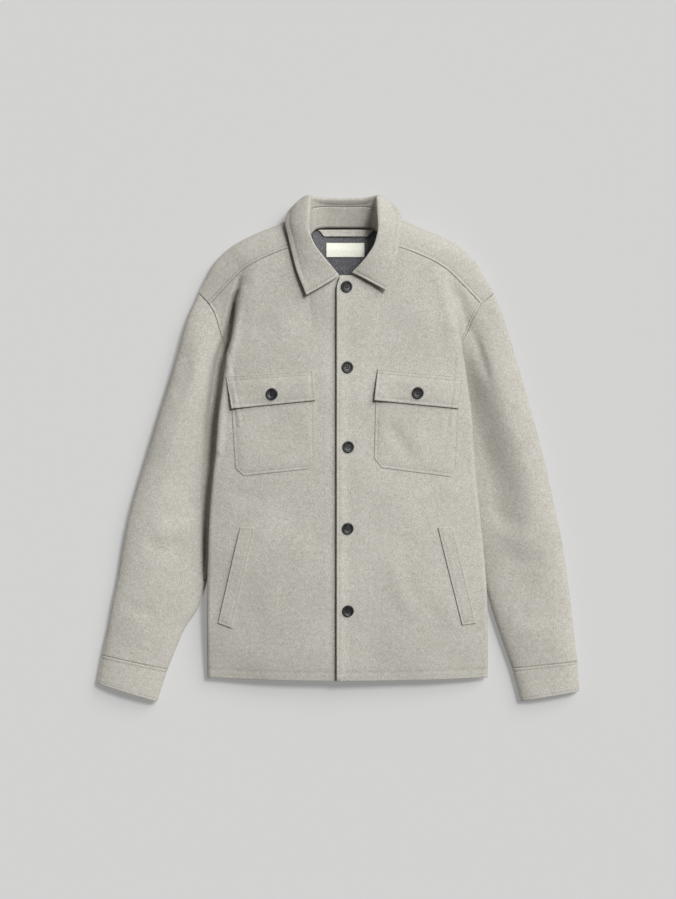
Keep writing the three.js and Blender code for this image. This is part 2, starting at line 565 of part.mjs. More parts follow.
const YOKE_DOWN = [0, 0.22, 0.34, 0.42, 0.5, 0.58, 0.8, 1];
const YOKE_ACROSS = [0, 0.08, 0.16, 0.19, 0.22, 0.25, 0.28, ...YOKE_SEAM.map((row) => row.across)];
function layYoke() {
  const across = [...YOKE_ACROSS.slice(1).reverse().map((c) => -c), ...YOKE_ACROSS];
  const grid = YOKE_DOWN.map((v) => across.map((c) => yokePoint(c, v)));
  return { grid, normals: normalsOf(grid, false, -1) };
}

// Back: flat on the surface, from the yoke seam to the hem
function buildBack() {
  const rows = [...UNDER_SHARES.slice(1, -1).reverse().map(armholeY), GARMENT.underarm, ...BELOW_UNDERARM];
  const edge = (side, y) => (y >= GARMENT.underarm ? armhole[side].back(y) : seamReach(side, y)) - BACK_INSET;
  const grid = rows.map((y) => spread(6).map((s) => {
    const x = mix(-edge('left', y), edge('right', y), s);
    return new THREE.Vector3(CENTRE_LINE + x, y - hemDip(x, frontDown(y)), 0);
  }));
  drawBack(grid, 'top');
  return wall(grid, { thick: WOOL, flip: -1 });
}

// Sleeves and cuffs: rings that go out over the top and back along the floor
const sleeveTables = {};
for (const side of ['left', 'right']) {
  sleeveTables[side] = {};
  for (const name of ['outer', 'outerY', 'inner', 'innerY', 'crown', 'edge', 'press']) {
    sleeveTables[side][name] = column(SLEEVE_ROWS[side], 'at', name);
  }
}
const PRESSED = { from: 0.2, over: 0.5 };   // shares of a sleeve's width that the body weighs down
function ringHeights(f, crown, edge, press) {
  const g = Math.abs(2 * f - 1);
  const low = 1 - press * ease((f - PRESSED.from) / PRESSED.over);
  const top = (edge + (crown - edge) * Math.sqrt(Math.max(0, 1 - g ** 2.5))) * low;
  const bottom = edge * low * (1 - Math.sqrt(Math.max(0, 1 - g ** 9)));
  return { top, bottom };
}
function sleevePoint(side, t, f, over) {
  const table = sleeveTables[side];
  const outer = [table.outer(t), table.outerY(t)];
  const inner = [table.inner(t), table.innerY(t)];
  const straight = [mix(outer[0], inner[0], f), mix(outer[1], inner[1], f)];
  const heights = ringHeights(f, table.crown(t), table.edge(t), table.press(t));
  const fade = (1 - clamp(t / 0.45, 0, 1)) ** 2;
  const seamY = armholeY(f);
  const seamLine = over ? armhole[side].front(seamY) : armhole[side].back(seamY);
  const straightSeam = mix(armhole[side].front(GARMENT.shoulder), armhole[side].front(GARMENT.underarm), f);
  const seamZ = over ? armhole.frontHeight(seamY) : armhole.backHeight(seamY);
  const zFade = 1 - ease(t / 0.2);
  const z = mix(over ? heights.top : heights.bottom, seamZ, zFade);
  const point = place3(side, straight[0] + (seamLine - straightSeam) * fade, straight[1], Math.max(z, 0));
  return over ? sinkIntoFold(point) : point;
}
function cuffPoint(side, t, f, over) {
  const from = SLEEVE_ROWS[side][SLEEVE_ROWS[side].length - 1];
  const to = CUFF_END[side];
  const heights = ringHeights(f, mix(from.crown, to.crown, t), mix(from.edge, to.edge, t), 0);
  const reach = mix(mix(from.outer, to.outer, t), mix(from.inner, to.inner, t), f);
  const y = mix(mix(from.outerY, to.outerY, t), mix(from.innerY, to.innerY, t), f);
  return place3(side, reach, y, over ? heights.top : heights.bottom);
}
function ringPoints(side, t, point) {
  const over = OVER_SHARES.slice(0, -1).map((f) => point(side, t, f, true));
  const under = UNDER_SHARES.map((f) => point(side, t, f, false));
  return [...over, ...under];
}
function layTube(side, stations, point) {
  const grid = stations.map((t) => ringPoints(side, t, point));
  return { grid, normals: normalsOf(grid, true, side === 'left' ? 1 : -1) };
}
const SLEEVE_STATIONS = [0, 0.05, 0.11, 0.18, 0.27, 0.37, 0.48, 0.6, 0.72, 0.82, 0.91, 1];

// Collar
const collarKnot = (name, at) => {
  const rows = COLLAR_ROWS.map((row) => {
    const [reach, y, z] = row[name];
    return { at: row.at, reach, y, z };
  });
  return ['reach', 'y', 'z'].map((axis) => column(rows, 'at', axis)(at));
};
function collarPoint(across, names, share) {
  const side = across < 0 ? 'left' : 'right';
  const knots = names.map((name) => collarKnot(name, Math.abs(across)));
  const [reach, y, z] = pathPoint(knots, share);
  const [shiftX, shiftY, bow] = POINT_SHIFT[side];
  const { from } = POINT_SHIFT;
  const near = names.includes('edge') ? ease((Math.abs(across) - from) / (1 - from)) : 0;
  const bowed = near * bow * Math.sin(Math.PI * share);
  const point = place3(side, reach + shiftX * near * share, y + shiftY * near * share + bowed, z);
  const onStand = names.includes('base') ? share : 1;
  point.x += COLLAR_LEAN.x * onStand * (1 - ease((Math.abs(across) - COLLAR_LEAN.from) / COLLAR_LEAN.over));
  return point;
}
const COLLAR_ACROSS = [
  0, 0.13, 0.19, 0.23, 0.27, 0.31, 0.36, 0.41, 0.47, 0.52, 0.58, 0.64, 0.7, 0.77, 0.84, 0.92, 1,
];
function layCollar(names, steps) {
  const across = [...COLLAR_ACROSS.slice(1).reverse().map((c) => -c), ...COLLAR_ACROSS];
  const grid = spread(steps).map((share) => across.map((c) => collarPoint(c, names, share)));
  return { grid, normals: normalsOf(grid, false, -1) };
}

// A patch of cloth on a front panel, between four corners given clockwise from the top left
function patchGrid(side, corners, rows, cols, out, shape = (a, b) => [a, b]) {
  return spread(rows).map((b) => spread(cols).map((a) => {
    const [s, t] = shape(a, b);
    const x = mix(mix(corners[0][0], corners[1][0], s), mix(corners[3][0], corners[2][0], s), t);
    const y = mix(mix(corners[0][1], corners[1][1], s), mix(corners[3][1], corners[2][1], s), t);
    return onFront(side, x, y, out(a, b));
  }));
}
const chamferShape = (corners, chamfer) => (a, b) => {
  const width = Math.abs(corners[1][0] - corners[0][0]);
  const tall = Math.abs(corners[0][1] - corners[3][1]);
  const lower = clamp((b * tall - (tall - chamfer)) / chamfer, 0, 1);
  const cut = (chamfer / width) * lower;
  return [mix(cut, 1 - cut, a), b];
};
function buildPocket(side) {
  const { corners, chamfer } = POCKET[side];
  const out = () => SEAM_GAP + POCKET_WALL;
  return wall(patchGrid(side, corners, 6, 7, out, chamferShape(corners, chamfer)), { thick: POCKET_WALL });
}
function buildFlap(side) {
  const liftCorner = side === 'left' ? 0 : 1;
  const out = (a, b) => {
    const overPocket = SEAM_GAP + POCKET_WALL + SEAM_GAP + FLAP_WALL;
    const lift = 3.5 * ease(1 - Math.abs(a - liftCorner) / 0.5) * ease((b - 0.3) / 0.7);
    return mix(SEAM_GAP + FLAP_WALL + FLAP_SEAT, overPocket + FLAP_SEAT, ease(b / 0.45)) + lift;
  };
  return wall(patchGrid(side, FLAP[side], 5, 10, out), { thick: FLAP_WALL });
}
function buildWelt(side) {
  return wall(patchGrid(side, WELT[side], 6, 2, () => SEAM_GAP + WELT_WALL), { thick: WELT_WALL });
}

// Buttons: a rimmed disc with a sunk middle
function buttonGeometry() {
  const { radius, thick, rim, sunk } = BUTTON;
  const profile = [[0, 0], [radius - 1.4, 0], [radius, thick * 0.45], [radius - 0.8, thick],
    [radius - rim, thick - 0.1], [radius - rim - 1, thick - sunk], [0, thick - sunk]];
  return new THREE.LatheGeometry(profile.map(([r, z]) => new THREE.Vector2(r, z)), 16).rotateX(Math.PI / 2);
}
function buildButton(side, { x, y }, above) {
  const seat = onFront(side, x, y, 0);
  const ahead = onFront(side, x + 6, y, 0).sub(onFront(side, x - 6, y, 0));
  const upward = onFront(side, x, y + 6, 0).sub(onFront(side, x, y - 6, 0));
  const normal = ahead.cross(upward).normalize();
  const geometry = buttonGeometry();
  geometry.applyQuaternion(new THREE.Quaternion().setFromUnitVectors(new THREE.Vector3(0, 0, 1), normal));
  const spot = seat.addScaledVector(normal, above + BUTTON.seat);
  geometry.translate(spot.x, spot.y, spot.z);
  return geometry;
}

// Neck lining, hanger loop and label
const liningHeight = (x, y) => 8 + 15 * ease((348 - y) / 30) + 8 * (Math.abs(x - CENTRE_LINE) / 52) ** 6;
function buildLining() {
  const grid = spread(7).map((b) => spread(10, -1, 1).map((a) => {
    const x = CENTRE_LINE + a * NECK.liningReach;
    const y = mix(NECK.liningBack - 6 * a ** 4, NECK.liningFront, b);
    return new THREE.Vector3(x, y, liningHeight(x, y));
  }));
  return wall(grid, { thick: JERSEY, flip: 1, flatFloor: false });
}
const LOOP = { band: 10.8, endFrom: 0.78, endPinch: 0.8, shift: 1.6, lift: 3, bow: 1.6, wall: 1.4 };
function buildLoop() {
  const grid = spread(1).map((b) => spread(14, -1, 1).map((a) => {
    const x = CENTRE_LINE + a * NECK.loopReach + LOOP.shift;
    const atEnd = ease((Math.abs(a) - LOOP.endFrom) / (1 - LOOP.endFrom));
    const y = NECK.loopTop - b * LOOP.band * (1 - LOOP.endPinch * atEnd);
    return new THREE.Vector3(x, y, liningHeight(x, y) + LOOP.lift + LOOP.bow * (1 - a * a));
  }));
  return wall(grid, { thick: LOOP.wall, flip: 1, flatFloor: false });
}
function buildLabel() {
  const grid = spread(3).map((b) => spread(6, -0.5, 0.5).map((a) => {
    const x = LABEL.x + a * LABEL.width;
    const y = mix(LABEL.top, LABEL.bottom, b);
    return new THREE.Vector3(x, y, liningHeight(x, y) + 2 * SEAM_GAP + LABEL_WALL);
  }));
  return wall(grid, { thick: LABEL_WALL, flip: 1, flatFloor: false });
}

// The large pieces are laid out first, then joined along their seams
const yoke = layYoke();
const stand = layCollar(['base', 'joint'], 2);
const leaf = layCollar(['joint', 'roll', 'fall', 'edge'], 8);
const fronts = {};
const sleeves = {};
const cuffs = {};
const SEAM_FROM = FRONT_ALONG.indexOf(YOKE_SEAM[0].along);
const ARMHOLE_SHOWN = 6;
const UNDERARM_ROW = OVER_SHARES.length - 3;
const UNDERARM_RING = [OVER_SHARES.length - 3, OVER_SHARES.length - 2, OVER_SHARES.length - 1];
for (const side of ['left', 'right']) {
  fronts[side] = layFront(side);
  sleeves[side] = layTube(side, SLEEVE_STATIONS, sleevePoint);
  cuffs[side] = layTube(side, spread(3), cuffPoint);
  const yokeSeam = side === 'left'
    ? yoke.normals[0].slice(0, YOKE_SEAM.length).reverse() : yoke.normals[0].slice(-YOKE_SEAM.length);
  shareNormals(fronts[side].normals[0].slice(SEAM_FROM), yokeSeam);
  shareNormals(fronts[side].normals.slice(0, ARMHOLE_SHOWN).map((line) => line[line.length - 1]),
    sleeves[side].normals[0].slice(2, 2 + ARMHOLE_SHOWN));
  shareNormals(sleeves[side].normals[sleeves[side].normals.length - 1], cuffs[side].normals[0]);
  drawBack(fronts[side].grid, 'top');
  drawBack(fronts[side].grid, 'end');
  const turnedIn = fronts[side].grid.slice(ARMHOLE_SHOWN, UNDERARM_ROW + 1);
  turnedIn.forEach((line) => drawBack([line], 'end', HIDDEN_SEAM_GAP));
  fronts[side].normals.slice(UNDERARM_ROW + 1).forEach((line) => line[line.length - 1].set(0, 0, -1));
  drawBack(sleeves[side].grid, 'top');
  for (const j of UNDERARM_RING) sleeves[side].grid[0][j].y -= UNDERARM_GAP;
  drawBack(sleeves[side].grid, 'bottom');
}
shareNormals(stand.normals[stand.normals.length - 1], leaf.normals[0]);
drawBack(leaf.grid, 'top', COLLAR_GAP);
drawBack(yoke.grid, 'start', YOKE_SIDE_GAP);
drawBack(yoke.grid, 'end', YOKE_SIDE_GAP);

piece('back', buildBack(), wool);
piece('yoke', wall(yoke.grid, { thick: WOOL, normals: yoke.normals }), wool);
const WEARER = { left: 'right', right: 'left' };   // the garment faces the viewer
for (const side of ['left', 'right']) {
  const name = WEARER[side];
  const clothWall = ({ grid, normals }, ring) => wall(grid, { thick: WOOL, ring, normals });
  piece(`front_${name}`, clothWall(fronts[side], false), wool);
  piece(`sleeve_${name}`, clothWall(sleeves[side], true), wool);
  piece(`cuff_${name}`, clothWall(cuffs[side], true), wool);
  piece(`chest_pocket_${name}`, buildPocket(side), wool);
  piece(`flap_${name}`, buildFlap(side), wool);
  piece(`welt_${name}`, buildWelt(side), wool);
  piece(`flap_button_${name}`, buildButton(side, FLAP_BUTTONS[side],
    SEAM_GAP + POCKET_WALL + SEAM_GAP + FLAP_WALL + FLAP_SEAT), horn);
}
const collarWall = ({ grid, normals }) => wall(grid, { thick: COLLAR_WOOL, normals, flatFloor: false });
piece('collar_stand', collarWall(stand), wool);
piece('collar_leaf', collarWall(leaf), wool);
FRONT_BUTTONS.forEach((spot, i) => piece(`front_button_${i + 1}`, buildButton('right', spot, 0.1), horn));
piece('neck_lining', buildLining(), jersey);
piece('hanger_loop', buildLoop(), wool);
piece('neck_label', buildLabel(), woven);

export default shacket;
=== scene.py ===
"""Men's wool shacket, buttoned up and laid flat on its back.

Shapes are worked out in millimetres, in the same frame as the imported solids, and turned to metres
when a mesh is made. Left and right are the viewer's, so the wearer's right is on the left.
Reach is the distance from the garment's centre line, the same to the left and to the right.
"""

import bpy
import numpy as np
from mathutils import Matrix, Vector


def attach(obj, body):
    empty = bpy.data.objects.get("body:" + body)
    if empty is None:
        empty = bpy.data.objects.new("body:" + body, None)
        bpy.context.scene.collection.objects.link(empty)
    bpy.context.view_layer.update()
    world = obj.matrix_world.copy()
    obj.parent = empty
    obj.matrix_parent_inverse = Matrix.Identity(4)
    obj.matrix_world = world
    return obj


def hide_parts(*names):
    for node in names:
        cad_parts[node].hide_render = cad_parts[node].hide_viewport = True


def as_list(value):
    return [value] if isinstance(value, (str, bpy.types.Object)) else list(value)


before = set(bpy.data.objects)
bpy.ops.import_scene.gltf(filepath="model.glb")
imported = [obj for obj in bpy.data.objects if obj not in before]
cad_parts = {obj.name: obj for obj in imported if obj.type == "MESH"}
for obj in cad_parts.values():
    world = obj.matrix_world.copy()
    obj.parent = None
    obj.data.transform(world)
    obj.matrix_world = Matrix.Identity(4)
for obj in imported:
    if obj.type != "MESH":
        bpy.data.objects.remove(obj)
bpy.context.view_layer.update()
METRE = 0.001
WEARER = {"left": "right", "right": "left"}

# Walls and gaps of the cloth
WOOL, COLLAR_WOOL, JERSEY, LABEL_WALL = 2.4, 2.2, 1.1, 1.0
POCKET_WALL, FLAP_WALL, FLAP_SEAT, WELT_WALL = 2.0, 2.2, 0.6, 2.0
POCKET_THIN = 1.0         # wall of a pocket where its pressed edge is seen
SEAM_GAP, BACK_INSET = 0.3, 0.9
SEWN_GAP = 0.12           # at seams that are pulled tight
CENTRE_LINE = 10.5
SHOULDER_Y, UNDERARM_Y, HEM_Y, YOKE_END_Y, BACK_YOKE_Y = 250.4, 39.2, -366.0, 232.6, 240.0
HEM_DIP = 5.0             # how far the hem hangs lower at the middle
FRONT_LENGTH = YOKE_END_Y - HEM_Y


def table(names, rows):
    """A table of numbers as named columns."""
    numbers = np.array(rows, float)
    return {name: numbers[:, i] for i, name in enumerate(names.split())}


# Body, hem to chest: where the side folds over, and how high the puffed cloth lies
BODY = table("y left right crown crest fold sag tuck", [
    (-366, 221, 229.5, 31, 19, 13, 0, 38),
    (-340, 221.5, 229.5, 37, 24, 17, 0, 41),
    (-300, 221.5, 229, 44, 30, 23, 0, 44),
    (-230, 221, 227, 53, 37, 30, 0, 47),
    (-154, 219, 221, 58, 41, 33, 0, 49),
    (-111, 217.5, 216.5, 59, 42, 34, 0, 50),
    (-50, 212.5, 210, 60, 43, 35, 0, 49),
    (0, 206.5, 206.5, 60, 44, 35, 0, 48),
    (22, 204.3, 204.8, 59.5, 44, 35, 0, 43),
    (39.2, 203, 203.5, 59, 44, 35, 0, 35),
    (101, 197, 197, 58, 44, 34, 0, 20),
    (154.4, 187, 187.5, 56, 43, 33, 0, 0),
    (180, 181, 181, 55, 42, 31, 2, 0),
    (212, 176.5, 177, 53.5, 39, 30, 3, 0),
    (232.6, 173.5, 173.5, 52, 36, 30, 2, 0),
])
# Armhole seam from the underarm to the shoulder: over the front, and under the back
ARMHOLE_FRONT = table("y left right height", [
    (39.2, 168, 168.5, 3.4),
    (45, 168.6, 169, 7),
    (72.8, 173, 173, 9),
    (101.6, 179.3, 177, 11.5),
    (154.4, 188.9, 182.5, 17),
    (168.8, 193.7, 186.3, 19.5),
    (188, 200.1, 195.9, 22),
    (205.6, 204.9, 203, 24),
    (222, 211.3, 212, 24.5),
    (232.6, 218.3, 218.3, 23),
    (243.3, 228.5, 231, 21.2),
    (249, 233.9, 237.8, 18.5),
    (250.4, 235.3, 239.5, 16),
])
ARMHOLE_BACK = table("y left right height", [
    (39.2, 168, 168.5, 3.4),
    (45, 168.6, 169, 0),
    (100, 172, 174, 0),
    (160, 180, 181, 0),
    (205, 193, 194, 0),
    (240, 214, 216, 0),
    (247, 226, 229, 4),
    (250.4, 235.3, 239.5, 16),
])
# Neckline and yoke seam: along is the place on the front, across the place on the yoke
FRONT_NECK = [
    (0.05, 0, 11, 277.5, 56),
    (0.1, 0, 30.5, 284, 55),
    (0.15, 0, 47, 300, 53.5),
    (0.18, 0, 57.5, 317, 51),
]
YOKE_SEAM = [
    (0.2, 0.33, 60.5, 328, 49),
    (0.36, 0.45, 88.6, 321.7, 48.5),
    (0.54, 0.58, 120, 310, 46),
    (0.68, 0.68, 143.6, 299.2, 43.5),
    (0.75, 0.725, 154.5, 293, 41),
    (0.82, 0.77, 165, 286, 37),
    (0.88, 0.87, 185, 267, 31),
    (0.94, 0.94, 204.8, 246.4, 26),
    (1, 1, 218.3, 232.6, 23),
]
BACK_NECK = [
    (0, 0, 0, 356.8, 6.5),
    (0, 0.08, 25, 356.5, 7),
    (0, 0.16, 44, 354, 10),
    (0, 0.22, 55, 346, 20),
    (0, 0.28, 60.5, 337, 38),
]
SEAM_COLUMNS = "along across reach y height"
YOKE_FRONT = table(SEAM_COLUMNS, BACK_NECK + YOKE_SEAM)
SHOULDER = table("across reach y height back", [
    (0, 0, 361, 3.4, 0),
    (0.08, 25, 361, 3.6, 25),
    (0.16, 46, 363, 6, 45),
    (0.22, 62, 366, 9, 58),
    (0.33, 84, 369, 13, 75),
    (0.45, 118, 356.5, 15, 95),
    (0.58, 149, 343.5, 16, 125),
    (0.68, 174, 331, 16, 150),
    (0.77, 193, 317, 16, 172),
    (0.87, 211, 298, 16, 192),
    (0.94, 225.5, 271, 16, 204),
    (1, 235.3, 250.4, 16, 214),
])
# Sleeves, armhole to cuff seam, and the open end of each cuff
SLEEVE_COLUMNS = "at outer outer_y inner inner_y crown edge press"
SLEEVE_AT = [0, 0.1, 0.23, 0.38, 0.53, 0.66, 0.78, 0.88, 1]
SLEEVE_HEIGHTS = [(36, 16, 0.8), (37, 15, 0.8), (37, 15, 0.73), (36, 15, 0.62), (34, 15, 0.45),
                  (31, 14, 0.25), (28, 13, 0.1), (26, 12, 0), (25, 12, 0)]
SLEEVE_EDGES = {
    "left": [(235.3, 250.4, 168, 39.2), (252.5, 210.4, 174.5, 13.6), (270.5, 148, 184, -32.8),
             (296, 66.4, 197, -88.8), (322.5, -21.6, 208, -144.8), (343, -92, 219.5, -204),
             (357.5, -160.8, 234, -250.4), (369.5, -232.8, 258, -288.8), (390.5, -330.4, 284.9, -352.8)],
    "right": [(239.5, 250.4, 168.5, 39.2), (254.5, 210.4, 178, 13.6), (274, 148, 188, -32.8),
              (297, 66.4, 200.5, -88.8), (321, -21.6, 211.5, -144.8), (336.5, -92, 222.3, -204),
              (350.5, -160.8, 233.5, -248.8), (360.5, -232.8, 246, -288.8), (373, -340, 268.2, -351.2)],
}
SLEEVE = {side: table(SLEEVE_COLUMNS, [(at, *edges, *heights) for at, edges, heights
                                       in zip(SLEEVE_AT, rows, SLEEVE_HEIGHTS)])
          for side, rows in SLEEVE_EDGES.items()}
CUFF_END = {"left": (398.8, -375.2, 301.7, -405, 24, 11.5), "right": (376.5, -388, 281.8, -404, 24, 11.5)}
# Collar, centre back to front: base and joint of the stand, then roll, fall and free edge of the leaf
COLLAR_AT = np.array([0, 0.13, 0.25, 0.36, 0.47, 0.58, 0.7, 0.84, 1])
COLLAR = {name: np.array(points, float) for name, points in {
    "base": [(0, 356, 9.6), (25, 356, 10), (43, 354.5, 13), (53, 346, 24), (57.5, 337, 41),
             (57, 320, 52.5), (48, 302, 55.5), (32, 285.5, 57.5), (13, 279, 59)],
    "joint": [(0, 388, 22), (27, 388.5, 22.5), (48, 386, 31), (54, 367, 47), (56, 350, 56),
              (52, 328, 62), (40.5, 309, 65), (26, 291, 64), (12.5, 280, 61.5)],
    "roll": [(0, 400, 29), (28, 400.5, 30), (52, 404, 42), (54.5, 379, 62), (55.5, 355, 69),
             (50, 331, 72), (37.5, 310, 72), (23, 292, 69), (11.5, 277, 65)],
    "fall": [(0, 401, 18), (30, 401.8, 19), (60, 406, 31), (76, 384, 50), (77, 361, 61),
             (70, 334, 67), (60, 306, 69), (46, 280, 67.5), (33, 265, 66)],
    "edge": [(0, 382, 3), (32, 384, 4), (69, 394, 17), (90, 380, 32), (93.5, 362, 45),
             (89, 336, 56), (84, 310, 61), (76, 281, 64), (63.5, 249.5, 66)],
}.items()}
COLLAR_LEAN = -2.5       # from the centre line to the middle of the collar's back, to the left
# How far each collar point lies off its row, and the bow of the edge that leads to it
POINT_SHIFT = {"left": (-2, -4.2, 0), "right": (1.5, 3, 3)}
# Buttons, pockets, flaps and welts, each by its corners from the top left clockwise
FRONT_BUTTONS = [(12.4, 259), (13.9, 130.7), (15.2, 4), (14.4, -125.6), (14.9, -256.8)]
FLAP_BUTTONS = {"left": (-105.3, 88.8), "right": (125.8, 90)}
POCKET = {
    "left": ((-171.5, 90), (-36.8, 95), (-34.7, -29.6), (-162.9, -43.2)),
    "right": ((59.8, 95), (196.5, 90), (191.3, -45.1), (56.3, -27.4)),
}
POCKET_CHAMFER = 13.0
FLAP = {
    "left": ((-177.6, 116.6), (-39.7, 125.3), (-35, 78.2), (-169, 65)),
    "right": ((62.2, 128), (200.3, 116), (191, 65), (56.3, 78.2)),
}
WELT = {
    "left": ((-156.5, -124), (-132, -124), (-169.9, -285.6), (-192.5, -277.6)),
    "right": ((158, -124), (182.9, -124), (219.8, -277.6), (197.4, -280.8)),
}
LABEL_X, LABEL_WIDTH, LABEL_TOP, LABEL_BOTTOM = 11.0, 61.0, 331.5, 308.0
LABEL_LENGTH = 25.5       # along its slope, for the spacing of its samples
# Lining that shows in the neck: half its width, its upper and lower edge, and how far its upper corners drop
LINING_REACH, LINING_BACK, LINING_FRONT, LINING_DROP = 52, 353.6, 256, 6
# Hanger loop: half its length, upper edge, band width, shift to the right, height above the lining, bow and
# wall, then from where its ends are pinched and how far
LOOP_REACH, LOOP_TOP, LOOP_BAND, LOOP_SHIFT = 44, 352.9, 10.8, 1.6
LOOP_LIFT, LOOP_BOW, LOOP_WALL = 3, 1.6, 1.4
LOOP_PINCH_FROM, LOOP_PINCH = 0.78, 0.8
HEM_TURN, BAND_STITCH_IN = 14, 5.0      # hem stitches from the lower edge, front band's from its edge
ALL_BORDERS = ("top", "bottom", "start", "end")


# Smooth lines through tables
def mix(a, b, share):
    return a + (b - a) * share


def ease(value):
    s = np.clip(value, 0, 1)
    return s * s * (3 - 2 * s)


def smooth(at, values, place):
    """A smooth line through values at given places, which never swings past them."""
    at, values, place = np.asarray(at, float), np.asarray(values, float), np.asarray(place, float)
    steep = np.diff(values, axis=-1) / np.diff(at)
    before, after = steep[..., :-1], steep[..., 1:]
    both = before + after
    inner = np.where(before * after > 0, 2 * before * after / np.where(both == 0, 1, both), 0)
    slopes = np.concatenate([steep[..., :1], inner, steep[..., -1:]], axis=-1)
    i = np.clip(np.searchsorted(at, place) - 1, 0, len(at) - 2)
    span = at[i + 1] - at[i]
    s = np.clip((place - at[i]) / span, 0, 1)

    def pick(numbers, k):
        return numbers[k] if numbers.ndim == 1 else np.take_along_axis(numbers, k[..., None], -1)[..., 0]

    return ((2 * s**3 - 3 * s**2 + 1) * pick(values, i) + (s**3 - 2 * s**2 + s) * span * pick(slopes, i)
            + (3 * s**2 - 2 * s**3) * pick(values, i + 1) + (s**3 - s**2) * span * pick(slopes, i + 1))


def read(rows, along, name, place):
    """A column of a table as a smooth line, at given places of another column."""
    return smooth(rows[along], rows[name], place)


def place3(side, reach, y, z):
    """Points at a reach to one side of the centre line."""
    x = CENTRE_LINE + (-reach if side == "left" else reach)
    return np.stack(np.broadcast_arrays(x, y, z), axis=-1)


# The deep fold on the left, from the chest down between body and sleeve: places of its sharp edge, then
# how wide and how deep the hollow outside it is
FOLD = np.array([
    (-154.4, 279, 5, 0), (-157.6, 255, 7, 4), (-161.6, 244, 8, 6), (-166.2, 212, 10, 10),
    (-170.4, 180, 13, 13), (-175.8, 159, 16, 15), (-181.1, 137, 18, 14), (-186.4, 101, 19, 11),
    (-189.6, 73, 20, 9), (-192.8, 41, 20, 8), (-196, -2, 18, 8), (-202.1, -50, 15, 8),
    (-206.9, -111, 12, 7), (-208.3, -154, 11, 6), (-210.4, -193, 9, 3), (-211, -215, 8, 0)], float)


FOLD_DEPTH = 3.2         # the hollow as seen, against its depth in that table


# The garment's own forms
def sink_into_fold(points):
    """Lowers what lies outside the deep fold: steep at its edge, soft further out."""
    rows = FOLD[::-1]
    edge, wide, deep = (np.interp(points[..., 1], rows[:, 1], rows[:, k], 0, 0) for k in (0, 2, 3))
    out = edge - points[..., 0]
    start = mix(2.5, 0.3, ease((points[..., 1] - 158) / 15))
    drop = FOLD_DEPTH * deep * ease((out - start) / 2.2) * np.exp(
        -(np.maximum(out - 3, 0) / np.maximum(wide * 0.7, 1)) ** 2.6)
    points[..., 2] -= np.minimum(drop, np.maximum(points[..., 2] - 4.5, 0))
    return points


def front_section(side, y):
    """Knots of a cut across a front at y: their reach and height, from the front edge to the side seam."""
    reach, crown, crest, fold, sag, tuck = (
        read(BODY, "y", name, y) for name in (side, "crown", "crest", "fold", "sag", "tuck"))
    seam = np.where(y >= UNDERARM_Y, read(ARMHOLE_FRONT, "y", side, y), reach - tuck)
    seam_z = read(ARMHOLE_FRONT, "y", "height", np.maximum(y, 45)) * ease((y - 5) / 40)
    wedge = ease((175 - y) / 100)
    start = np.full_like(reach, -13.7 if side == "right" else -10)

    def under_reach(above, below):
        return mix(reach, seam, mix(above, below, wedge))

    def under_height(above, below):
        return mix(fold, seam_z, mix(above, below, wedge)) - sag

    reaches = [start, 0.22 * reach, 0.48 * reach, 0.73 * reach, reach - 13, reach - 3, reach,
               under_reach(0.24, 0.12), under_reach(0.68, 0.56), seam]
    heights = [crown, mix(crown, crest, 0.04), mix(crown, crest, 0.2), mix(crown, crest, 0.55), crest,
               mix(fold, crest, 0.7), fold, under_height(0.5, 0.3), under_height(0.95, 0.55), seam_z]
    return np.stack(reaches, -1), np.stack(heights, -1)


FRONT_KNOTS = np.array([0, 0.2, 0.4, 0.58, 0.68, 0.75, 0.82, 0.88, 0.94, 1])


def front_form(side, u, v):
    """The outer face of a front: u from the front edge to the side, v from the top to the hem."""
    u, v = np.broadcast_arrays(np.asarray(u, float), np.asarray(v, float))
    y = mix(YOKE_END_Y, HEM_Y, v)
    reaches, heights = front_section(side, y)
    first_reach, first_height = front_section(side, np.array(YOKE_END_Y))
    start = -13.7 if side == "right" else -10
    top = table(SEAM_COLUMNS, [(0, 0, start, 277, 56.5)] + FRONT_NECK + YOKE_SEAM)
    fade, fade_z = 1 - ease(v / 0.3), 1 - ease(v / 0.22)
    reach = smooth(FRONT_KNOTS, reaches, u)
    reach = reach + (read(top, "along", "reach", u) - smooth(FRONT_KNOTS, first_reach, u)) * fade
    z = smooth(FRONT_KNOTS, heights, u)
    z = z + (read(top, "along", "height", u) - smooth(FRONT_KNOTS, first_height, u)) * fade_z
    y = y + (read(top, "along", "y", u) - YOKE_END_Y) * fade
    y = y - HEM_DIP * np.maximum(0, 1 - (reach / 220) ** 2) * v**3
    if side == "right":     # rounded top corner of the front band
        reach = reach + 5 * (1 - ease((277 - y) / 20)) * (1 - ease(u / 0.06))
    x = -reach if side == "left" else reach
    z = z + 1.6 * (1 - ease((x - 12) / 40)) if side == "right" else z - 1.7 * ease((x + 32) / 18)
    return sink_into_fold(place3(side, reach, y, np.maximum(z, 0)))


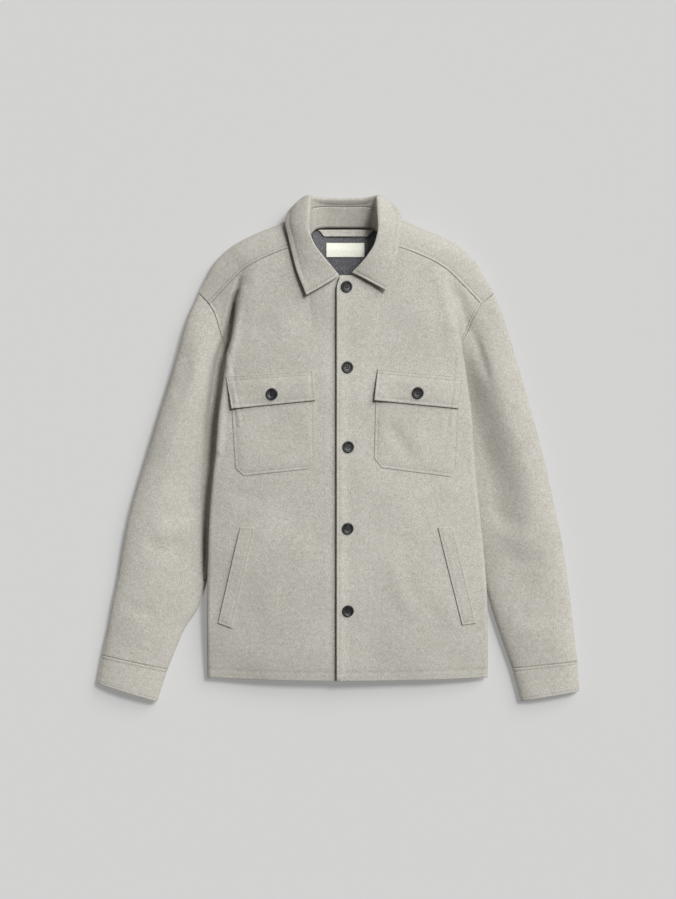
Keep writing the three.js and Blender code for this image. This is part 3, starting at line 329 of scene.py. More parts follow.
def yoke_form(across, v):
    """Across from one shoulder point to the other (-1 to 1), v from the front seam over to the back seam."""
    across, v = np.broadcast_arrays(np.asarray(across, float), np.asarray(v, float))
    c, left = np.abs(across), across < 0
    tip = np.where(left, 235.3, 239.5)
    shift = (tip - 235.3) * ease((c - 0.9) / 0.1)
    front = [read(YOKE_FRONT, "across", name, c) for name in ("reach", "y", "height")]
    out = [read(SHOULDER, "across", name, c) for name in ("reach", "y", "height")]
    out[0] = out[0] + shift
    back = [read(SHOULDER, "across", "back", c) + shift * 0.5, np.full_like(c, BACK_YOKE_Y), np.zeros_like(c)]
    way = np.hypot(back[0] - out[0], back[1] - out[1])
    tuck = np.minimum(14, way * 0.6)
    knots = []
    for k in range(3):
        near = tuck * 0.25 / way
        under = ([mix(out[k], back[k], near), mix(out[k], back[k], tuck / way)] if k < 2
                 else [out[2] * 0.34, 0 * c])
        over = ([mix(front[k], out[k], 0.6), mix(front[k], out[k], 0.92)] if k < 2
                else [mix(out[2], front[2], 0.74), mix(out[2], front[2], 0.36)])
        knots.append(np.stack([front[k], *over, out[k], *under, back[k]], -1))
    at = np.array([0, 0.22, 0.34, 0.42, 0.5, 0.58, 1])
    reach, y, z = (smooth(at, numbers, v) for numbers in knots)
    x = CENTRE_LINE + np.where(left, -reach, reach)
    return np.stack([x, y, np.maximum(z, 0)], -1)


PRESSED = (0.2, 0.5)      # from where across a sleeve, and over which share, the body weighs it down


def ring_heights(f, crown, edge, press):
    g = np.abs(2 * f - 1)
    low = 1 - press * ease((f - PRESSED[0]) / PRESSED[1])
    top = (edge + (crown - edge) * np.sqrt(np.maximum(0, 1 - g**2.5))) * low
    return top, edge * low * (1 - np.sqrt(np.maximum(0, 1 - g**9)))


def sleeve_form(side, t, f, over):
    """t from the armhole to the cuff seam, f from the outer to the inner edge, over the top or under."""
    rows = SLEEVE[side]
    outer, outer_y, inner, inner_y, crown, edge, press = (
        read(rows, "at", name, t) for name in SLEEVE_COLUMNS.split()[1:])
    top, bottom = ring_heights(f, crown, edge, press)
    fade = (1 - np.clip(t / 0.45, 0, 1)) ** 2
    seam_y = mix(SHOULDER_Y, UNDERARM_Y, f)
    seams = [(read(rows_, "y", side, seam_y), read(rows_, "y", "height", seam_y))
             for rows_ in (ARMHOLE_FRONT, ARMHOLE_BACK)]
    line = np.where(over, seams[0][0], seams[1][0])
    line_z = np.where(over, seams[0][1], seams[1][1])
    straight = mix(ARMHOLE_FRONT[side][-1], ARMHOLE_FRONT[side][0], f)
    z = mix(np.where(over, top, bottom), line_z, 1 - ease(t / 0.2))
    points = place3(side, mix(outer, inner, f) + (line - straight) * fade, mix(outer_y, inner_y, f),
                    np.maximum(z, 0))
    return np.where(np.broadcast_to(np.asarray(over), points.shape[:-1])[..., None],
                    sink_into_fold(points.copy()), points)


def cuff_form(side, t, f, over):
    last = {name: numbers[-1] for name, numbers in SLEEVE[side].items()}
    outer, outer_y, inner, inner_y, crown, edge = (
        mix(last[name], end, t) for name, end in zip(SLEEVE_COLUMNS.split()[1:7], CUFF_END[side]))
    top, bottom = ring_heights(f, crown, edge, 0)
    return place3(side, mix(outer, inner, f), mix(outer_y, inner_y, f), np.where(over, top, bottom))


def collar_form(across, names, share):
    """Across from one front edge to the other (-1 to 1), share from the first named line to the last."""
    across, share = np.broadcast_arrays(np.asarray(across, float), np.asarray(share, float))
    c = np.abs(across)
    knots = np.stack([
        np.stack([smooth(COLLAR_AT, COLLAR[name][:, k], c) for k in range(3)], -1) for name in names])
    steps = len(names) - 1
    way = np.clip(share, 0, 1) * steps
    i = np.minimum(np.floor(way).astype(int), steps - 1)
    s = (way - i)[..., None]

    def knot(k):
        k = np.clip(k, 0, steps)
        return np.take_along_axis(knots, k[None, ..., None], 0)[0]

    a, b, c_, d = knot(i - 1), knot(i), knot(i + 1), knot(i + 2)
    p = 0.5 * (2 * b + (c_ - a) * s + (2 * a - 5 * b + 4 * c_ - d) * s**2 + (3 * b - a - 3 * c_ + d) * s**3)
    left = across < 0
    near = ease((c - 0.8) / 0.2) * ("edge" in names)
    shift_x, shift_y, bow = (np.where(left, *both) for both in zip(POINT_SHIFT["left"], POINT_SHIFT["right"]))
    reach = p[..., 0] + shift_x * near * share
    y = p[..., 1] + (shift_y * share + bow * np.sin(np.pi * share)) * near
    lean = COLLAR_LEAN * (share if "base" in names else 1) * (1 - ease((c - 0.45) / 0.3))
    return np.stack([CENTRE_LINE + lean + np.where(left, -reach, reach), y, p[..., 2]], -1)


def lining_height(x, y):
    """The lining rises from the back of the neck to the front, and at its sides."""
    return 8 + 15 * ease((348 - y) / 30) + 8 * (np.abs(x - CENTRE_LINE) / LINING_REACH) ** 6


# Relief of the cloth: soft creases, seams and rows of stitches pressed into it
def from_path(path, x, y):
    """How far each place is from a path seen from above, and how far along the path it lies (0 to 1)."""
    path = np.asarray(path, float)
    nearest, along, run = np.full(x.shape, 1e9), np.zeros(x.shape), 0.0
    for (ax, ay), (bx, by) in zip(path[:-1, :2], path[1:, :2]):
        dx, dy = bx - ax, by - ay
        length = max(np.hypot(dx, dy), 1e-9)
        s = np.clip(((x - ax) * dx + (y - ay) * dy) / length**2, 0, 1)
        distance = np.hypot(x - ax - s * dx, y - ay - s * dy)
        closer = distance < nearest
        nearest, along = np.where(closer, distance, nearest), np.where(closer, run + s * length, along)
        run += length
    return nearest, along / run


# Soft troughs and ridges: half width and depth in mm (a ridge has a negative depth), then the path
CREASES = [
    (9, 3.4, [(181, 268), (193, 240), (206, 200), (209, 176)]),
    (7, 2.4, [(212, 204), (219, 178), (228, 152), (238, 120), (244, 96)]),
    (13, 1.8, [(153, 276), (158, 235), (161, 180), (156, 140)]),
    (12, -1.2, [(172, 262), (182, 225), (188, 185)]),
    (13, 2.4, [(74, 52), (92, 22), (112, -8), (132, -30)]),
    (18, 1.5, [(100, -172), (124, -228), (152, -262), (168, -312)]),
    (14, -1.0, [(74, -150), (96, -214), (118, -280)]),
    (15, 1.2, [(-64, -150), (-88, -210), (-96, -282)]),
    (16, 1.1, [(-140, 180), (-118, 196), (-88, 190)]),
    (12, 1.8, [(-236, 176), (-246, 120), (-262, 66)]),
    (15, 1.9, [(-214, -80), (-248, -104), (-292, -112)]),
    (13, 1.6, [(-240, -148), (-282, -160), (-318, -150)]),
    (12, -1.2, [(-226, -112), (-262, -132), (-306, -132)]),
    (12, 1.6, [(-286, -262), (-322, -258), (-352, -240)]),
    (14, 1.8, [(232, -84), (266, -112), (306, -118)]),
    (13, 1.5, [(262, -170), (300, -182), (336, -170)]),
    (12, -1.1, [(246, -128), (284, -146), (322, -142)]),
    (12, 1.5, [(276, -262), (314, -272), (350, -262)]),
    (13, 1.4, [(290, 120), (276, 74), (284, 26)]),
    (14, 1.3, [(-180, -60), (-150, -78), (-112, -74)]),
    (14, 1.2, [(184, -66), (150, -92), (108, -96)]),
]
# Slow waves of the puffed cloth: length and height in mm, heading and start in degrees
WAVES = [(210, 0.8, 20, 40), (150, 0.6, 75, 200), (118, 0.5, 130, 310), (84, 0.34, 48, 95),
         (66, 0.24, 162, 12)]
STITCH_OFF = 4.8      # from a seam or edge to its row of stitches


def cloth_waves(x, y):
    """How far slow waves and soft creases lift the cloth at each place."""
    rise = np.zeros(np.shape(x))
    for length, height, heading, start in WAVES:
        way = x * np.cos(np.radians(heading)) + y * np.sin(np.radians(heading))
        rise = rise + height * np.sin(way / length * 2 * np.pi + np.radians(start))
    for width, depth, path in CREASES:
        (x0, y0), (x1, y1) = np.min(path, 0) - 3 * width, np.max(path, 0) + 3 * width
        near = (x > x0) & (x < x1) & (y > y0) & (y < y1)
        if not near.any():
            continue
        distance, along = from_path(path, x[near], y[near])
        rise[near] += swell(distance, -depth, width) * ease(along / 0.3) * ease((1 - along) / 0.3)
    return rise


def swell(distance, height, half_width):
    """A rounded ridge along a line, or a trough where the height is negative."""
    return height * np.exp(-(distance / half_width) ** 2)


def raised_seam(distance):
    """The side of a seam with the allowance under it: puffed up to the stitches, which press it down."""
    return swell(distance - 1.8, 0.9, 2.2) + swell(distance - STITCH_OFF, -0.8, 1.3)


def lower_seam(distance):
    """The side of a seam without the allowance dips a little."""
    return swell(distance, -0.15, 3.5)


def pressed_row(distance):
    """A row of stitches presses the cloth down."""
    return swell(distance, -0.8, 1.4)


def normal_of(form, a, b, flip, step=1e-3):
    down = form(a, b + step) - form(a, b - step)
    along = form(a + step, b) - form(a - step, b)
    normal = np.cross(down, along) * flip
    return normal / np.maximum(np.linalg.norm(normal, axis=-1, keepdims=True), 1e-12)


def cloth_face(form, flip, seams=(), waves=1.0):
    """A form with its relief: seams are (path, profile) pairs. What lies on the surface stays flat."""
    def face(a, b):
        a, b = np.broadcast_arrays(np.asarray(a, float), np.asarray(b, float))
        points = form(a, b)
        normal = normal_of(form, a, b, flip)
        x, y = points[..., 0], points[..., 1]
        rise = cloth_waves(x, y) * waves
        for path, profile in seams:
            rise = rise + profile(from_path(path, x, y)[0])
        return points + normal * (rise * ease((normal[..., 2] - 0.15) / 0.5))[..., None]
    return face


def spaced(length, step, soft=(True, True)):
    """Places from 0 to 1 along a length in mm, close together at the ends that are rounded over."""
    ends = np.array([0, 0.3, 0.8, 1.6, 2.8])
    start = ends if soft[0] else np.array([0.0])
    end = length - ends[::-1] if soft[1] else np.array([length])
    count = max(int(round((end[0] - start[-1]) / step)), 1)
    return np.concatenate([start[:-1], np.linspace(start[-1], end[0], count + 1), end[1:]]) / length


# Meshes
def make_object(name, points, faces, material, smooth_shade=True):
    mesh = bpy.data.meshes.new(name)
    mesh.from_pydata((np.asarray(points) * METRE).tolist(), [], [list(map(int, face)) for face in faces])
    mesh.validate()
    mesh.update()
    if smooth_shade:
        mesh.polygons.foreach_set("use_smooth", [True] * len(mesh.polygons))
    piece = bpy.data.objects.new(name, mesh)
    bpy.context.scene.collection.objects.link(piece)
    mesh.materials.append(material)
    return piece


def grid_normals(grid, ring, flip):
    after = np.roll(grid, -1, 1) if ring else np.concatenate([grid[:, 1:], grid[:, -1:]], 1)
    before = np.roll(grid, 1, 1) if ring else np.concatenate([grid[:, :1], grid[:, :-1]], 1)
    down = np.concatenate([grid[1:], grid[-1:]]) - np.concatenate([grid[:1], grid[:-1]])
    normal = np.cross(down, after - before) * flip
    return normal / np.maximum(np.linalg.norm(normal, axis=-1, keepdims=True), 1e-12)


def from_border(grid, border):
    """Distance of each grid point from one border, measured along the grid."""
    if border in ("start", "end"):
        return from_border(grid.swapaxes(0, 1), "top" if border == "start" else "bottom").T
    line = grid if border == "top" else grid[::-1]
    steps = np.linalg.norm(np.diff(line, axis=0), axis=-1)
    run = np.concatenate([np.zeros((1, grid.shape[1])), np.cumsum(steps, axis=0)])
    return run if border == "top" else run[::-1]


def shell(grid, thick, flip, ring=False, free=(), rest=True):
    """The closed wall of a cloth piece: its grid is the outer face. Free borders are rounded over."""
    normal = grid_normals(grid, ring, flip)
    outer, inner = grid.copy(), grid - normal * thick
    if rest:
        lying = grid[..., 2] < 1e-6
        inner[..., 2] = np.where(lying, np.maximum(inner[..., 2], thick * 0.6), np.maximum(inner[..., 2], 0))
    if free:
        edge = np.minimum.reduce([from_border(grid, border) for border in free])
        soft = 1.6
        short = soft - np.minimum(edge, soft)
        turn = (1 - np.sqrt(np.maximum(0, 1 - (short / soft) ** 2)))[..., None] * thick * 0.42
        outer, inner = outer - normal * turn, inner + normal * turn
    outer[..., 2] = np.maximum(outer[..., 2], 0)
    rows, cols = grid.shape[:2]
    ids = np.arange(rows * cols).reshape(rows, cols)
    if ring:
        ids = np.concatenate([ids, ids[:, :1]], 1)
    shift = rows * cols

    def quads(a, b, c, d):
        return np.stack([a, b, c, d], -1).reshape(-1, 4)

    top, low = ids[:-1], ids[1:]
    faces = [quads(top[:, :-1], low[:, :-1], low[:, 1:], top[:, 1:]),
             quads(top[:, :-1], top[:, 1:], low[:, 1:], low[:, :-1]) + shift,
             quads(ids[0, :-1], ids[0, 1:], ids[0, 1:] + shift, ids[0, :-1] + shift),
             quads(ids[-1, 1:], ids[-1, :-1], ids[-1, :-1] + shift, ids[-1, 1:] + shift)]
    if not ring:
        faces += [quads(low[:, 0], top[:, 0], top[:, 0] + shift, low[:, 0] + shift),
                  quads(top[:, -1], low[:, -1], low[:, -1] + shift, top[:, -1] + shift)]
    faces = np.concatenate(faces)
    if flip < 0:
        faces = faces[:, ::-1]
    return np.concatenate([outer.reshape(-1, 3), inner.reshape(-1, 3)]), faces


def draw_back(grid, border, gap=SEAM_GAP):
    """Draws one border of a grid back by the gap at its seam."""
    view = grid.swapaxes(0, 1) if border in ("start", "end") else grid
    edge, next_ = (0, 1) if border in ("top", "start") else (-1, -2)
    step = view[next_] - view[edge]
    view[edge] = view[edge] + step / np.linalg.norm(step, axis=-1, keepdims=True) * gap
    return grid


# Materials
def linear(hex_colour):
    """An sRGB hex colour as linear numbers."""
    parts = [int(hex_colour[i:i + 2], 16) / 255 for i in (1, 3, 5)]
    return (*(p / 12.92 if p <= 0.04045 else ((p + 0.055) / 1.055) ** 2.4 for p in parts), 1.0)


def add(tree, kind, settings=None, links=None):
    """Adds a node: settings go by socket or property name, links by socket name or number."""
    node = tree.nodes.new(kind)
    for name, value in (settings or {}).items():
        if name in node.inputs:
            node.inputs[name].default_value = value
        else:
            setattr(node, name, value)
    for name, output in (links or {}).items():
        tree.links.new(output, node.inputs[name])
    return node


def new_material(name, viewport_hex):
    material = bpy.data.materials.new(name)
    material.use_nodes = True
    material.diffuse_color = linear(viewport_hex)
    tree = material.node_tree
    tree.nodes.clear()
    output = add(tree, "ShaderNodeOutputMaterial")
    surface = add(tree, "ShaderNodeBsdfPrincipled")
    tree.links.new(surface.outputs["BSDF"], output.inputs["Surface"])
    place = add(tree, "ShaderNodeTexCoord").outputs["Object"]
    return material, tree, surface, place


def ramp(tree, factor, stops):
    node = add(tree, "ShaderNodeValToRGB", links={"Fac": factor})
    elements = node.color_ramp.elements
    for extra in stops[2:]:
        elements.new(extra[0])
    for element, (position, colour) in zip(elements, sorted(stops)):
        element.position, element.color = position, linear(colour)
    return node.outputs["Color"]


def per_mm(size):
    """Noise scale for features of that size in millimetres."""
    return 1000.0 / size


def bands(size):
    """Wave scale for bands that far apart in millimetres."""
    return per_mm(size) * 2 * np.pi / 20


def brushed_wool(name, dark, middle, light, fleck=1.15):
    """Brushed melange wool: grey and cream fibres mixed in the yarn give fine flecks, and the raised nap
    hides the weave, so the cloth looks matt and soft with a faint pale bloom at its edges."""
    material, tree, surface, place = new_material(name, middle)
    lie = add(tree, "ShaderNodeMapping", {"Rotation": (0, 0, 0.6), "Scale": (1, 0.5, 1)}, {"Vector": place})
    fibres = add(tree, "ShaderNodeTexNoise", {"Scale": per_mm(fleck), "Detail": 5.0, "Roughness": 0.68},
                 {"Vector": lie.outputs["Vector"]})
    clumps = add(tree, "ShaderNodeTexNoise", {"Scale": per_mm(7), "Detail": 3.0, "Roughness": 0.6},
                 {"Vector": place})
    cloud = add(tree, "ShaderNodeTexNoise", {"Scale": per_mm(75), "Detail": 2.0}, {"Vector": place})
    flecks = ramp(tree, fibres.outputs["Fac"], [(0.3, dark), (0.5, middle), (0.72, light)])
    soft = ramp(tree, clumps.outputs["Fac"], [(0.3, "#F0F0EE"), (0.7, "#FFFFFF")])
    wide = ramp(tree, cloud.outputs["Fac"], [(0.3, "#F7F7F6"), (0.7, "#FFFFFF")])
    shade = {"data_type": "RGBA", "blend_type": "MULTIPLY", "Factor": 1.0}
    once = add(tree, "ShaderNodeMix", shade, {6: flecks, 7: soft})
    twice = add(tree, "ShaderNodeMix", shade, {6: once.outputs[2], 7: wide})
    tree.links.new(twice.outputs[2], surface.inputs["Base Color"])
    nap = add(tree, "ShaderNodeTexNoise", {"Scale": per_mm(1.1), "Detail": 6.0, "Roughness": 0.75},
              {"Vector": lie.outputs["Vector"]})
    tufts = add(tree, "ShaderNodeBump", {"Strength": 0.55, "Distance": 0.0006},
                {"Height": nap.outputs["Fac"]})
    felted = add(tree, "ShaderNodeBump", {"Strength": 0.35, "Distance": 0.0012},
                 {"Height": clumps.outputs["Fac"], "Normal": tufts.outputs["Normal"]})
    tree.links.new(felted.outputs["Normal"], surface.inputs["Normal"])
    surface.inputs["Roughness"].default_value = 0.95
    surface.inputs["Specular IOR Level"].default_value = 0.15
    surface.inputs["Sheen Weight"].default_value = 0.25
    surface.inputs["Sheen Roughness"].default_value = 0.5
    surface.inputs["Sheen Tint"].default_value = linear("#E6E2D8")
    return material


def melange_jersey():
    """Fine knitted jersey of black and grey yarn: rows of small loops give a faint grain, quite matt."""
    material, tree, surface, place = new_material("melange_jersey", "#59595C")
    yarn = add(tree, "ShaderNodeMapping", {"Scale": (1, 0.3, 1)}, {"Vector": place})
    grain = add(tree, "ShaderNodeTexNoise", {"Scale": per_mm(1.2), "Detail": 4.0, "Roughness": 0.7},
                {"Vector": yarn.outputs["Vector"]})
    colour = ramp(tree, grain.outputs["Fac"], [(0.32, "#3B3B3F"), (0.5, "#58585C"), (0.68, "#808084")])
    tree.links.new(colour, surface.inputs["Base Color"])
    # Loops are 0.9 mm apart, near the finest that the render can show
    loops = add(tree, "ShaderNodeTexWave", {"Scale": bands(0.9), "Distortion": 0.6, "bands_direction": "Y"},
                {"Vector": place})
    knit = add(tree, "ShaderNodeBump", {"Strength": 0.3, "Distance": 0.0003},
               {"Height": loops.outputs["Fac"]})
    tree.links.new(knit.outputs["Normal"], surface.inputs["Normal"])
    surface.inputs["Roughness"].default_value = 0.9
    surface.inputs["Specular IOR Level"].default_value = 0.2
    surface.inputs["Sheen Weight"].default_value = 0.15
    return material


def woven_polyester_label():
    """Damask-woven polyester label: dense fine threads, smooth and slightly silky, off-white."""
    material, tree, surface, place = new_material("woven_polyester_label", "#E9E9DE")
    threads, across = (
        add(tree, "ShaderNodeTexWave", {"Scale": bands(0.8), "Distortion": 0.2, "bands_direction": way},
            {"Vector": place}) for way in ("X", "Y"))
    both = add(tree, "ShaderNodeMath", {"operation": "ADD"},
               {0: threads.outputs["Fac"], 1: across.outputs["Fac"]})
    speck = add(tree, "ShaderNodeTexNoise", {"Scale": per_mm(1.5), "Detail": 3.0}, {"Vector": place})
    tree.links.new(ramp(tree, speck.outputs["Fac"], [(0.3, "#DEDED2"), (0.7, "#F2F2E8")]),
                   surface.inputs["Base Color"])
    weave = add(tree, "ShaderNodeBump", {"Strength": 0.25, "Distance": 0.0002},
                {"Height": both.outputs["Value"]})
    tree.links.new(weave.outputs["Normal"], surface.inputs["Normal"])
    surface.inputs["Roughness"].default_value = 0.6
    return material


def moulded_polyester_button():
    """Cast polyester button in smoky black-grey, turned and tumbled: a satin face with faint horn streaks."""
    material, tree, surface, place = new_material("moulded_polyester_button", "#2B2B2D")
    streak = add(tree, "ShaderNodeMapping", {"Rotation": (0, 0, 0.5), "Scale": (1, 0.25, 1)},
                 {"Vector": place})
    smoke = add(tree, "ShaderNodeTexNoise", {"Scale": per_mm(5), "Detail": 4.0, "Distortion": 0.6},
                {"Vector": streak.outputs["Vector"]})
    horn = ramp(tree, smoke.outputs["Fac"], [(0.35, "#131315"), (0.55, "#28282B"), (0.75, "#434348")])
    tree.links.new(horn, surface.inputs["Base Color"])
    scratches = add(tree, "ShaderNodeTexNoise", {"Scale": per_mm(0.5), "Detail": 3.0}, {"Vector": place})
    worn = add(tree, "ShaderNodeBump", {"Strength": 0.08, "Distance": 0.0001},
               {"Height": scratches.outputs["Fac"]})
    tree.links.new(worn.outputs["Normal"], surface.inputs["Normal"])
    surface.inputs["Roughness"].default_value = 0.46
    surface.inputs["IOR"].default_value = 1.5
    return material


def spun_thread(name, hex_dark, hex_light):
    """Spun polyester sewing thread: two plies twisted, matt, near the colour of the cloth."""
    material, tree, surface, place = new_material(name, hex_light)
    plies = add(tree, "ShaderNodeTexNoise", {"Scale": per_mm(0.8), "Detail": 2.0}, {"Vector": place})
    tree.links.new(ramp(tree, plies.outputs["Fac"], [(0.35, hex_dark), (0.65, hex_light)]),
                   surface.inputs["Base Color"])
    surface.inputs["Roughness"].default_value = 0.8
    return material


WOOL_CLOTH = brushed_wool("brushed_melange_wool", "#9A9790", "#BDBAB3", "#D9D7D0")
JERSEY_CLOTH = melange_jersey()
LABEL_CLOTH = woven_polyester_label()
BUTTON = moulded_polyester_button()
WOOL_THREAD = spun_thread("wool_coloured_thread", "#5F5B53", "#85817A")
BUTTON_THREAD = spun_thread("dark_button_thread", "#1B1B1D", "#38383A")
LABEL_THREAD = spun_thread("label_thread", "#D2D2C6", "#E6E6DC")


def add_piece(name, node, points_and_faces, material):
    points, faces = points_and_faces
    piece = make_object(name, points, faces, material)
    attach(piece, "root")
    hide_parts(node)


def add_wool(node, grid, thick, flip, **how):
    """A piece of the wool cloth, made as a shell."""
    add_piece(f"{node}_cloth", node, shell(grid, thick, flip, **how), WOOL_CLOTH)


STITCH_RING = 5
rng_stitch = np.random.default_rng(11)


def stitch_mesh():
    """One stitch, 1 long and 1 wide: a short bowed bead of thread whose ends go down into the cloth."""
    points, faces = [(-0.5, 0, -0.55)], []
    for share, radius in ((-0.3, 0.42), (0.0, 0.5), (0.3, 0.42)):
        for k in range(STITCH_RING):
            turn = 2 * np.pi * k / STITCH_RING + np.pi / 2
            points.append((share, radius * np.cos(turn), radius * np.sin(turn) * 0.9 - 1.1 * share**2))
    points.append((0.5, 0, -0.55))
    for k in range(STITCH_RING):
        n = (k + 1) % STITCH_RING
        faces += [(0, 1 + n, 1 + k), (len(points) - 1, 11 + k, 11 + n)]
        for ring in (1, 6):
            faces += [(ring + k, ring + n, ring + 5 + n), (ring + k, ring + 5 + n, ring + 5 + k)]
    return np.array(points, float), np.array(faces)


STITCH_POINTS, STITCH_FACES = stitch_mesh()


def row_of_stitches(line, normals, pitch=3.8, length=2.3, width=0.8):
    """Places of the stitches along one sewn line, as points and faces."""
    steps = np.linalg.norm(np.diff(line, axis=0), axis=-1)
    run = np.concatenate([[0], np.cumsum(steps)])
    count = int(run[-1] // pitch)
    if count < 1:
        return np.zeros((0, 3)), np.zeros((0, 3), int)
    middle = (np.arange(count) + 0.5) * run[-1] / count
    spot = np.stack([np.interp(middle, run, line[:, k]) for k in range(3)], -1)
    ahead = np.stack([np.interp(middle + 1, run, line[:, k]) - np.interp(middle - 1, run, line[:, k])
                      for k in range(3)], -1)
    ahead /= np.linalg.norm(ahead, axis=-1, keepdims=True)
    up = np.stack([np.interp(middle, run, normals[:, k]) for k in range(3)], -1)
    up -= (up * ahead).sum(-1, keepdims=True) * ahead
    up /= np.linalg.norm(up, axis=-1, keepdims=True)
    side = np.cross(up, ahead)
    long_ = length * rng_stitch.uniform(0.92, 1.08, count)[:, None, None]
    p = STITCH_POINTS
    points = (spot[:, None] + ahead[:, None] * p[None, :, :1] * long_
              + side[:, None] * p[None, :, 1:2] * width + up[:, None] * (p[None, :, 2:] * width + 0.12))
    faces = STITCH_FACES[None] + (np.arange(count) * len(p))[:, None, None]
    return points.reshape(-1, 3), faces.reshape(-1, 3)


def add_stitches(name, rows, material=WOOL_THREAD, slot="wool", **sizes):
    """Joins rows of stitches, each (line, normals), into one piece."""
    points, faces, shift = [], [], 0
    for line, normals in rows:
        p, f = row_of_stitches(line, normals, **sizes)
        points.append(p)
        faces.append(f + shift)
        shift += len(p)
    piece = make_object(name, np.concatenate(points), np.concatenate(faces), material)
    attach(piece, "root")
    return piece


def sewn_line(face, flip, a, b):
    """A line on a face, with the normals there, for a row of stitches."""
    a, b = np.broadcast_arrays(np.asarray(a, float), np.asarray(b, float))
    return face(a, b), normal_of(face, a, b, flip, 2e-3)


def inset(form, a, b, da, db, distance):
    """Moves places in from a border by a distance in mm, in the direction (da, db)."""
    step = 1e-3
    a, b = np.broadcast_arrays(np.asarray(a, float), np.asarray(b, float))
    pace = np.linalg.norm(form(a + da * step, b + db * step) - form(a, b), axis=-1) / step
    move = distance / np.maximum(pace, 1e-6)
    return a + da * move, b + db * move


# Grids: where the samples of each large piece lie, close together at rounded borders
def by_length(form, places):
    """Turns shares of a form's length into its own places, so that samples lie evenly."""
    fine = np.linspace(0, 1, 601)
    steps = np.linalg.norm(np.diff(form(fine), axis=0), axis=-1)
    run = np.concatenate([[0], np.cumsum(steps)])
    return np.interp(np.asarray(places) * run[-1], run, fine)


def length_of(form):
    return np.linalg.norm(np.diff(form(np.linspace(0, 1, 601)), axis=0), axis=-1).sum()


def sampled(form, step, soft=(False, False)):
    """Places along a form, about a step in mm apart, close together at the ends that are rounded over."""
    return by_length(form, spaced(length_of(form), step, soft))


FLIP_FRONT = {"left": -1, "right": 1}
stitch_rows = {}


def note_row(node, face, flip, a, b):
    stitch_rows.setdefault(node, []).append(sewn_line(face, flip, a, b))


# Fronts
armhole_line, yoke_line, front_face = {}, {}, {}
for side in ("left", "right"):
    node, flip = f"front_{WEARER[side]}", FLIP_FRONT[side]

    def form(u, v, side=side):
        return front_form(side, u, v)

    seam_v = np.linspace(0, (YOKE_END_Y - UNDERARM_Y) / FRONT_LENGTH, 60)
    armhole_line[side] = form(1, seam_v)
    yoke_line[side] = form(np.linspace(0.2, 1, 50), 0)
    hem_v = 1 - HEM_TURN / FRONT_LENGTH
    hem_u = np.linspace(0.0, 0.8, 160)
    edge_v = np.linspace(0.012, 0.999, 260)
    edge_u, _ = inset(form, 0, edge_v, 1, 0, BAND_STITCH_IN)
    seams = [(yoke_line[side], lower_seam), (armhole_line[side], raised_seam),
             (form(hem_u[::6], hem_v), pressed_row)]
    if side == "right":
        seams.append((form(edge_u[::5], edge_v[::5]), pressed_row))
        seams.append((form(0.001, edge_v[::5]), lambda distance: swell(distance, 4.8, 12)))
    else:
        seams.append((FOLD[1:11, :2] + (5.5, 0), lambda distance: swell(distance, 2.8, 5.5)))
    face = cloth_face(form, flip, seams)
    front_face[side] = face
    u = sampled(lambda s, form=form: form(s, 0.57), 2.2, (True, False))
    v = spaced(FRONT_LENGTH, 2.6, (False, True))
    v = np.union1d(v, np.array([2, 4, 6]) / FRONT_LENGTH)
    grid = face(u[None, :], v[:, None])
    draw_back(draw_back(grid, "top", SEWN_GAP), "end", SEWN_GAP)
    add_wool(node, grid, WOOL, flip, free=("start", "bottom"))
    note_row(node, face, flip, hem_u, hem_v)
    row_u, row_v = inset(form, 1, np.linspace(0.002, 0.2, 60), -1, 0, STITCH_OFF)
    note_row(node, face, flip, row_u, row_v)
    if side == "right":
        note_row(node, face, flip, edge_u, edge_v)

# Yoke
yoke_seams = [(yoke_line[side], raised_seam) for side in ("left", "right")]
yoke_side = {side: yoke_form(sign, np.linspace(0, 0.5, 20)) for side, sign in (("left", -1), ("right", 1))}
yoke_face = cloth_face(yoke_form, -1, yoke_seams + [
    (line, lambda distance: 0.5 * pressed_row(distance - STITCH_OFF)) for line in yoke_side.values()])
half = sampled(lambda s: yoke_form(s, 0.1), 3.2)
across = np.concatenate([-half[:0:-1], half])
down = np.union1d(sampled(lambda s: yoke_form(0.6, s), 2.6), [0.012, 0.03, 0.05])
grid = yoke_face(across[None, :], down[:, None])
for border in ("start", "end"):
    draw_back(grid, border, SEWN_GAP)
add_wool("yoke", grid, WOOL, -1)
for sign in (-1, 1):
    c = sign * np.linspace(0.33, 0.985, 120)
    row_c, row_v = inset(yoke_form, c, 0, 0, 1, STITCH_OFF)
    note_row("yoke", yoke_face, -1, row_c, row_v)
    row_c, row_v = inset(yoke_form, sign, np.linspace(0.03, 0.42, 20), -sign, 0, STITCH_OFF)
    note_row("yoke", yoke_face, -1, row_c, row_v)

# Back: flat on the surface
rows_y = np.concatenate([np.linspace(BACK_YOKE_Y - SEAM_GAP, UNDERARM_Y, 40),
                         np.linspace(UNDERARM_Y, HEM_Y, 70)[1:]])
shares = spaced(400, 9)


def back_edge(side, y):
    tucked = read(BODY, "y", side, y) - read(BODY, "y", "tuck", y)
    return np.where(y >= UNDERARM_Y, read(ARMHOLE_BACK, "y", side, y), tucked) - BACK_INSET


x = mix(-back_edge("left", rows_y)[:, None], back_edge("right", rows_y)[:, None], shares[None, :])
way_down = (YOKE_END_Y - rows_y[:, None]) / FRONT_LENGTH
dip = HEM_DIP * np.maximum(0, 1 - (x / 220) ** 2) * np.maximum(way_down, 0) ** 3
grid = np.stack([CENTRE_LINE + x, rows_y[:, None] - dip, np.zeros_like(x)], -1)
add_wool("back", grid, WOOL, -1, free=("bottom",))

